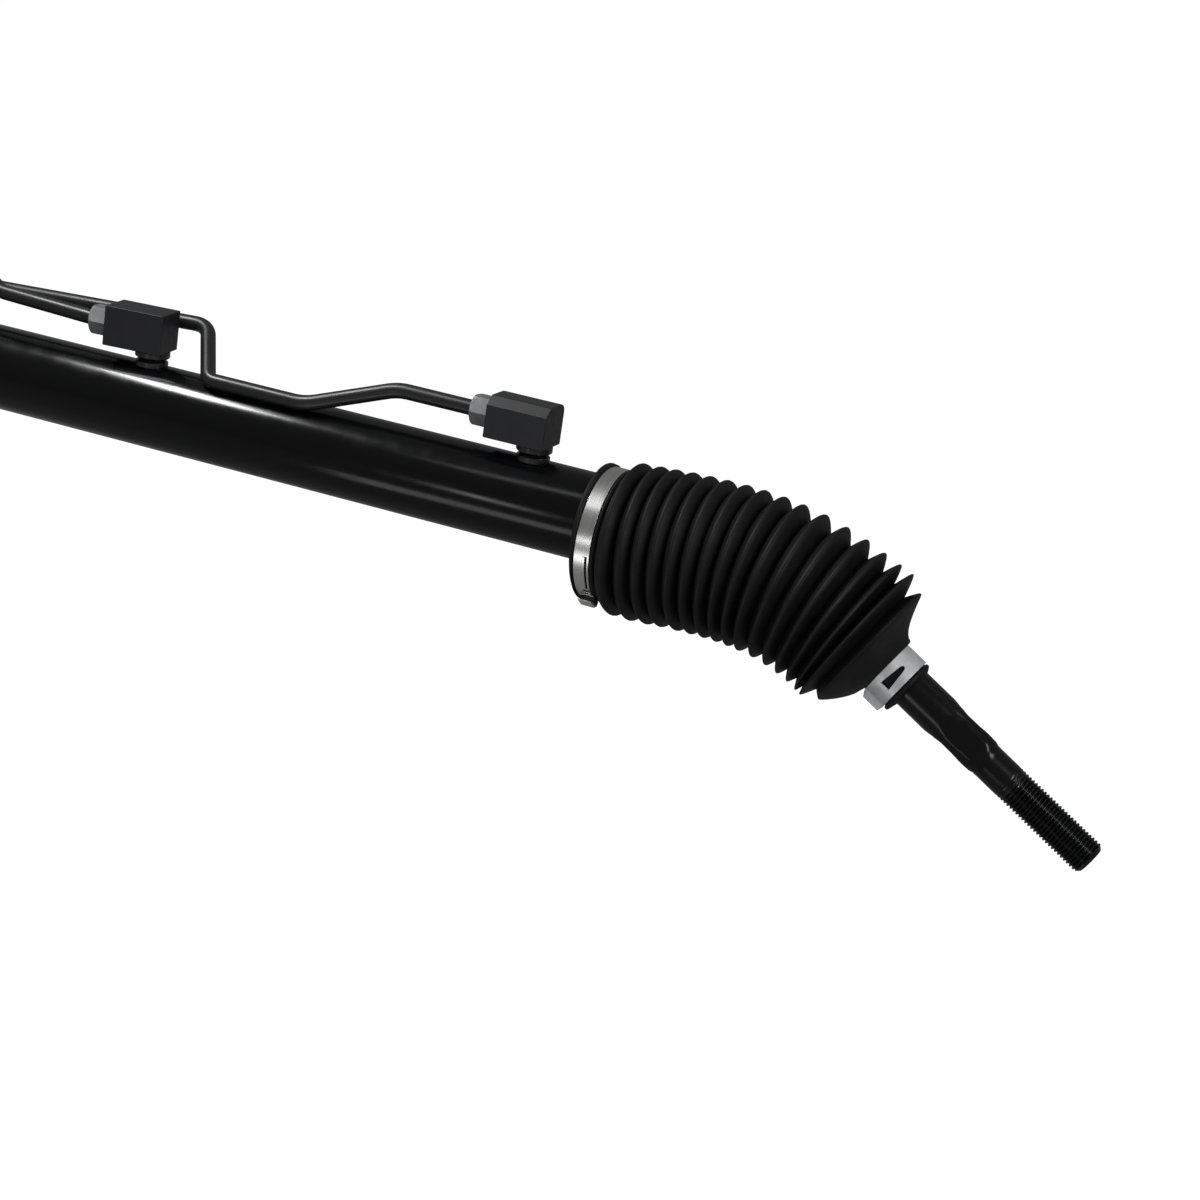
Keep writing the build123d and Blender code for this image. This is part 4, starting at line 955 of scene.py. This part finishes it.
def pipe(name, points, bends, material):
    """Round pipe along a route, with its section carried on without twisting."""
    path = route(points, bends)
    rings = []
    side = Vector((0, 1, 0))
    for i, p in enumerate(path):
        way = (path[min(i + 1, len(path) - 1)] - path[max(i - 1, 0)]).normalized()
        side = (side - way * side.dot(way)).normalized()
        up = way.cross(side)
        rings.append([
            p + side * (PIPE_R * math.cos(2 * math.pi * k / PIPE_STEPS))
            + up * (PIPE_R * math.sin(2 * math.pi * k / PIPE_STEPS)) for k in range(PIPE_STEPS)
        ])
    return finish_piece(skin(f"{name}_piece", rings, sharp_angle=60.0), "housing", material, "pipe", name)


def block_face(port_x, turn):
    """Placement at the face that takes a block's nut, with +X into the block."""
    left = -BLOCK_UNION_OFFSET - BLOCK_LENGTH / 2
    return block_place(port_x, turn) @ Matrix.Translation((left, 0, PORT_AXIS_Z))


def tower_face(height):
    """Placement at a port of the tower, at a height along its leaning axis, with +X into the port."""
    lean = Matrix.Translation((PINION_X, PINION_Y, 0)) @ Matrix.Rotation(math.radians(SHAFT_LEAN), 4, "Y")
    return lean @ Matrix.Translation((LINE_REACH, 0, height)) @ Matrix.Rotation(math.pi, 4, "Z")


def along(place, run):
    """Point on a port's axis, at a distance out of its face."""
    return place @ Vector((-run, 0, 0))


def pipes(material):
    outer, outer_far = block_face(PORT_OUTER_X, 0), tower_face(LINE_H_OUTER)
    inner, inner_far = block_face(PORT_INNER_X, BLOCK_TURN), tower_face(LINE_H_INNER)
    points = [along(outer, -PIPE_SINK)] + [Vector(p) for p in OUTER_ROUTE]
    points += [along(outer_far, TOWER_RUN), along(outer_far, -PIPE_SINK)]
    pipe("pipe_outer", points, OUTER_BENDS, material)
    points = [along(inner, -PIPE_SINK), along(inner, INNER_RUN), Vector(INNER_BEND_POINT)]
    points += [along(inner_far, TOWER_RUN), along(inner_far, -PIPE_SINK)]
    pipe("pipe_inner", points, INNER_BENDS, material)


def fittings(materials):
    port_block("port_block_inner", PORT_INNER_X, BLOCK_TURN, False, materials["block"])
    port_block("port_block_outer", PORT_OUTER_X, 0.0, True, materials["block"])
    unions = join("port_unions_piece", [union(PORT_INNER_X, BLOCK_TURN), union(PORT_OUTER_X, 0.0)])
    finish_piece(unions, "housing", materials["dark_steel"], "dark_steel", "port_unions")
    places = [
        block_face(PORT_INNER_X, BLOCK_TURN), block_face(PORT_OUTER_X, 0),
        tower_face(LINE_H_OUTER), tower_face(LINE_H_INNER),
    ]
    nuts = join("pipe_nuts_piece", [nut(f"nut_{i}", place) for i, place in enumerate(places)])
    finish_piece(nuts, "housing", materials["nut"], "zinc", "pipe_nuts")
    pipes(materials["pipe"])


# Solids that keep their own shape

def dress_solids(materials):
    """Gives every solid the material of its slot, and breaks cast or machined edges."""
    slots = {row["node"]: row["material_slot"] for row in frame["record"]["subparts"]}
    for name, obj in frame["nodes"].items():
        obj.data.materials.clear()
        obj.data.materials.append(materials[slots[name]])
        if name in ROUNDED:
            bevelled(obj, ROUNDED[name])


# Stage, light and camera

def seen_strength(nodes, links, to_camera, to_gloss, to_rest):
    """Strength for what the camera sees, for what gloss and glass show of it, and for all else."""
    rays = nodes.new("ShaderNodeLightPath")
    shown = nodes.new("ShaderNodeMath")
    shown.operation = "MAXIMUM"
    links.new(rays.outputs["Is Glossy Ray"], shown.inputs[0])
    links.new(rays.outputs["Is Transmission Ray"], shown.inputs[1])
    gloss, seen = shown.outputs["Value"], rays.outputs["Is Camera Ray"]
    strength = to_rest
    for source, wanted in ((gloss, to_gloss), (seen, to_camera)):
        mix = nodes.new("ShaderNodeMix")
        if isinstance(strength, float):
            mix.inputs["A"].default_value = strength
        else:
            links.new(strength, mix.inputs["A"])
        mix.inputs["B"].default_value = wanted
        links.new(source, mix.inputs["Factor"])
        strength = mix.outputs["Result"]
    return strength


def floor():
    mesh = bpy.data.meshes.new("floor")
    corners = [(-1, -1), (1, -1), (1, 1), (-1, 1)]
    points = [metres(x * FLOOR_REACH, y * FLOOR_REACH, FLOOR_Z) for x, y in corners]
    mesh.from_pydata(points, [], [(0, 1, 2, 3)])
    obj = new_object("floor", mesh)
    material = bpy.data.materials.new("pale_floor")
    material.use_nodes = True
    nodes, links = material.node_tree.nodes, material.node_tree.links
    shader = nodes["Principled BSDF"]
    shader.inputs["Base Color"].default_value = (FLOOR_GREY, FLOOR_GREY, FLOOR_GREY, 1)
    shader.inputs["Roughness"].default_value = 0.9
    shader.inputs["Specular IOR Level"].default_value = 0.0
    glow = seen_strength(nodes, links, FLOOR_GLOW, FLOOR_GLOSS, FLOOR_FILL)
    links.new(glow, shader.inputs["Emission Strength"])
    shader.inputs["Emission Color"].default_value = (1, 1, 1, 1)
    mesh.materials.append(material)


def world():
    """White to the camera, dim and even to everything else."""
    made = bpy.data.worlds.new("studio")
    bpy.context.scene.world = made
    made.use_nodes = True
    nodes, links = made.node_tree.nodes, made.node_tree.links
    background = nodes["Background"]
    background.inputs["Color"].default_value = (1, 1, 1, 1)
    glow = seen_strength(nodes, links, SKY_GLOW, SKY_GLOSS, SKY_FILL)
    links.new(glow, background.inputs["Strength"])


def lamp(name, place, target, size, power):
    """Soft box, placed and aimed in millimetres."""
    data = bpy.data.lights.new(name, "AREA")
    data.shape = "RECTANGLE"
    data.size, data.size_y = size[0] * MM, size[1] * MM
    data.energy = power
    obj = bpy.data.objects.new(name, data)
    bpy.context.scene.collection.objects.link(obj)
    spot, aim = metres(*place), metres(*target)
    obj.location = spot
    obj.rotation_euler = (aim - spot).to_track_quat("-Z", "Y").to_euler()


def lamps():
    for name, place, target, size, power in LAMPS:
        lamp(name, place, target, size, power)


def camera():
    azimuth, elevation, roll = (math.radians(a) for a in (CAMERA_AZIMUTH, CAMERA_ELEVATION, CAMERA_ROLL))
    back = Vector((
        math.sin(azimuth) * math.cos(elevation), -math.cos(azimuth) * math.cos(elevation), math.sin(elevation)
    ))
    level = Vector((math.cos(azimuth), math.sin(azimuth), 0))
    upright = back.cross(level)
    right = level * math.cos(roll) + upright * math.sin(roll)
    up = upright * math.cos(roll) - level * math.sin(roll)
    spot = metres(*CAMERA_TARGET) + back * CAMERA_DISTANCE * MM
    data = bpy.data.cameras.new("photo_view")
    data.sensor_width = SENSOR
    data.lens = SENSOR * CAMERA_FOCAL_PX / IMAGE_PX
    data.clip_start, data.clip_end = 0.01, 100
    obj = bpy.data.objects.new("photo_view", data)
    bpy.context.scene.collection.objects.link(obj)
    obj.matrix_world = Matrix((
        (right.x, up.x, back.x, spot.x), (right.y, up.y, back.y, spot.y),
        (right.z, up.z, back.z, spot.z), (0, 0, 0, 1),
    ))
    bpy.context.scene.camera = obj


def main():
    materials = make_materials()
    dress_solids(materials)
    tube(materials["tube"])
    for side in ("right", "left"):
        bellows(side, materials["rubber"])
        large_clamp(side, materials["stainless"], materials["dark_steel"])
        small_clamp(side, materials["zinc"])
        tie_rod(side, materials["rod"])
    fittings(materials)
    floor()
    world()
    lamps()
    camera()
    bpy.context.scene.view_settings.view_transform = "Standard"


main()
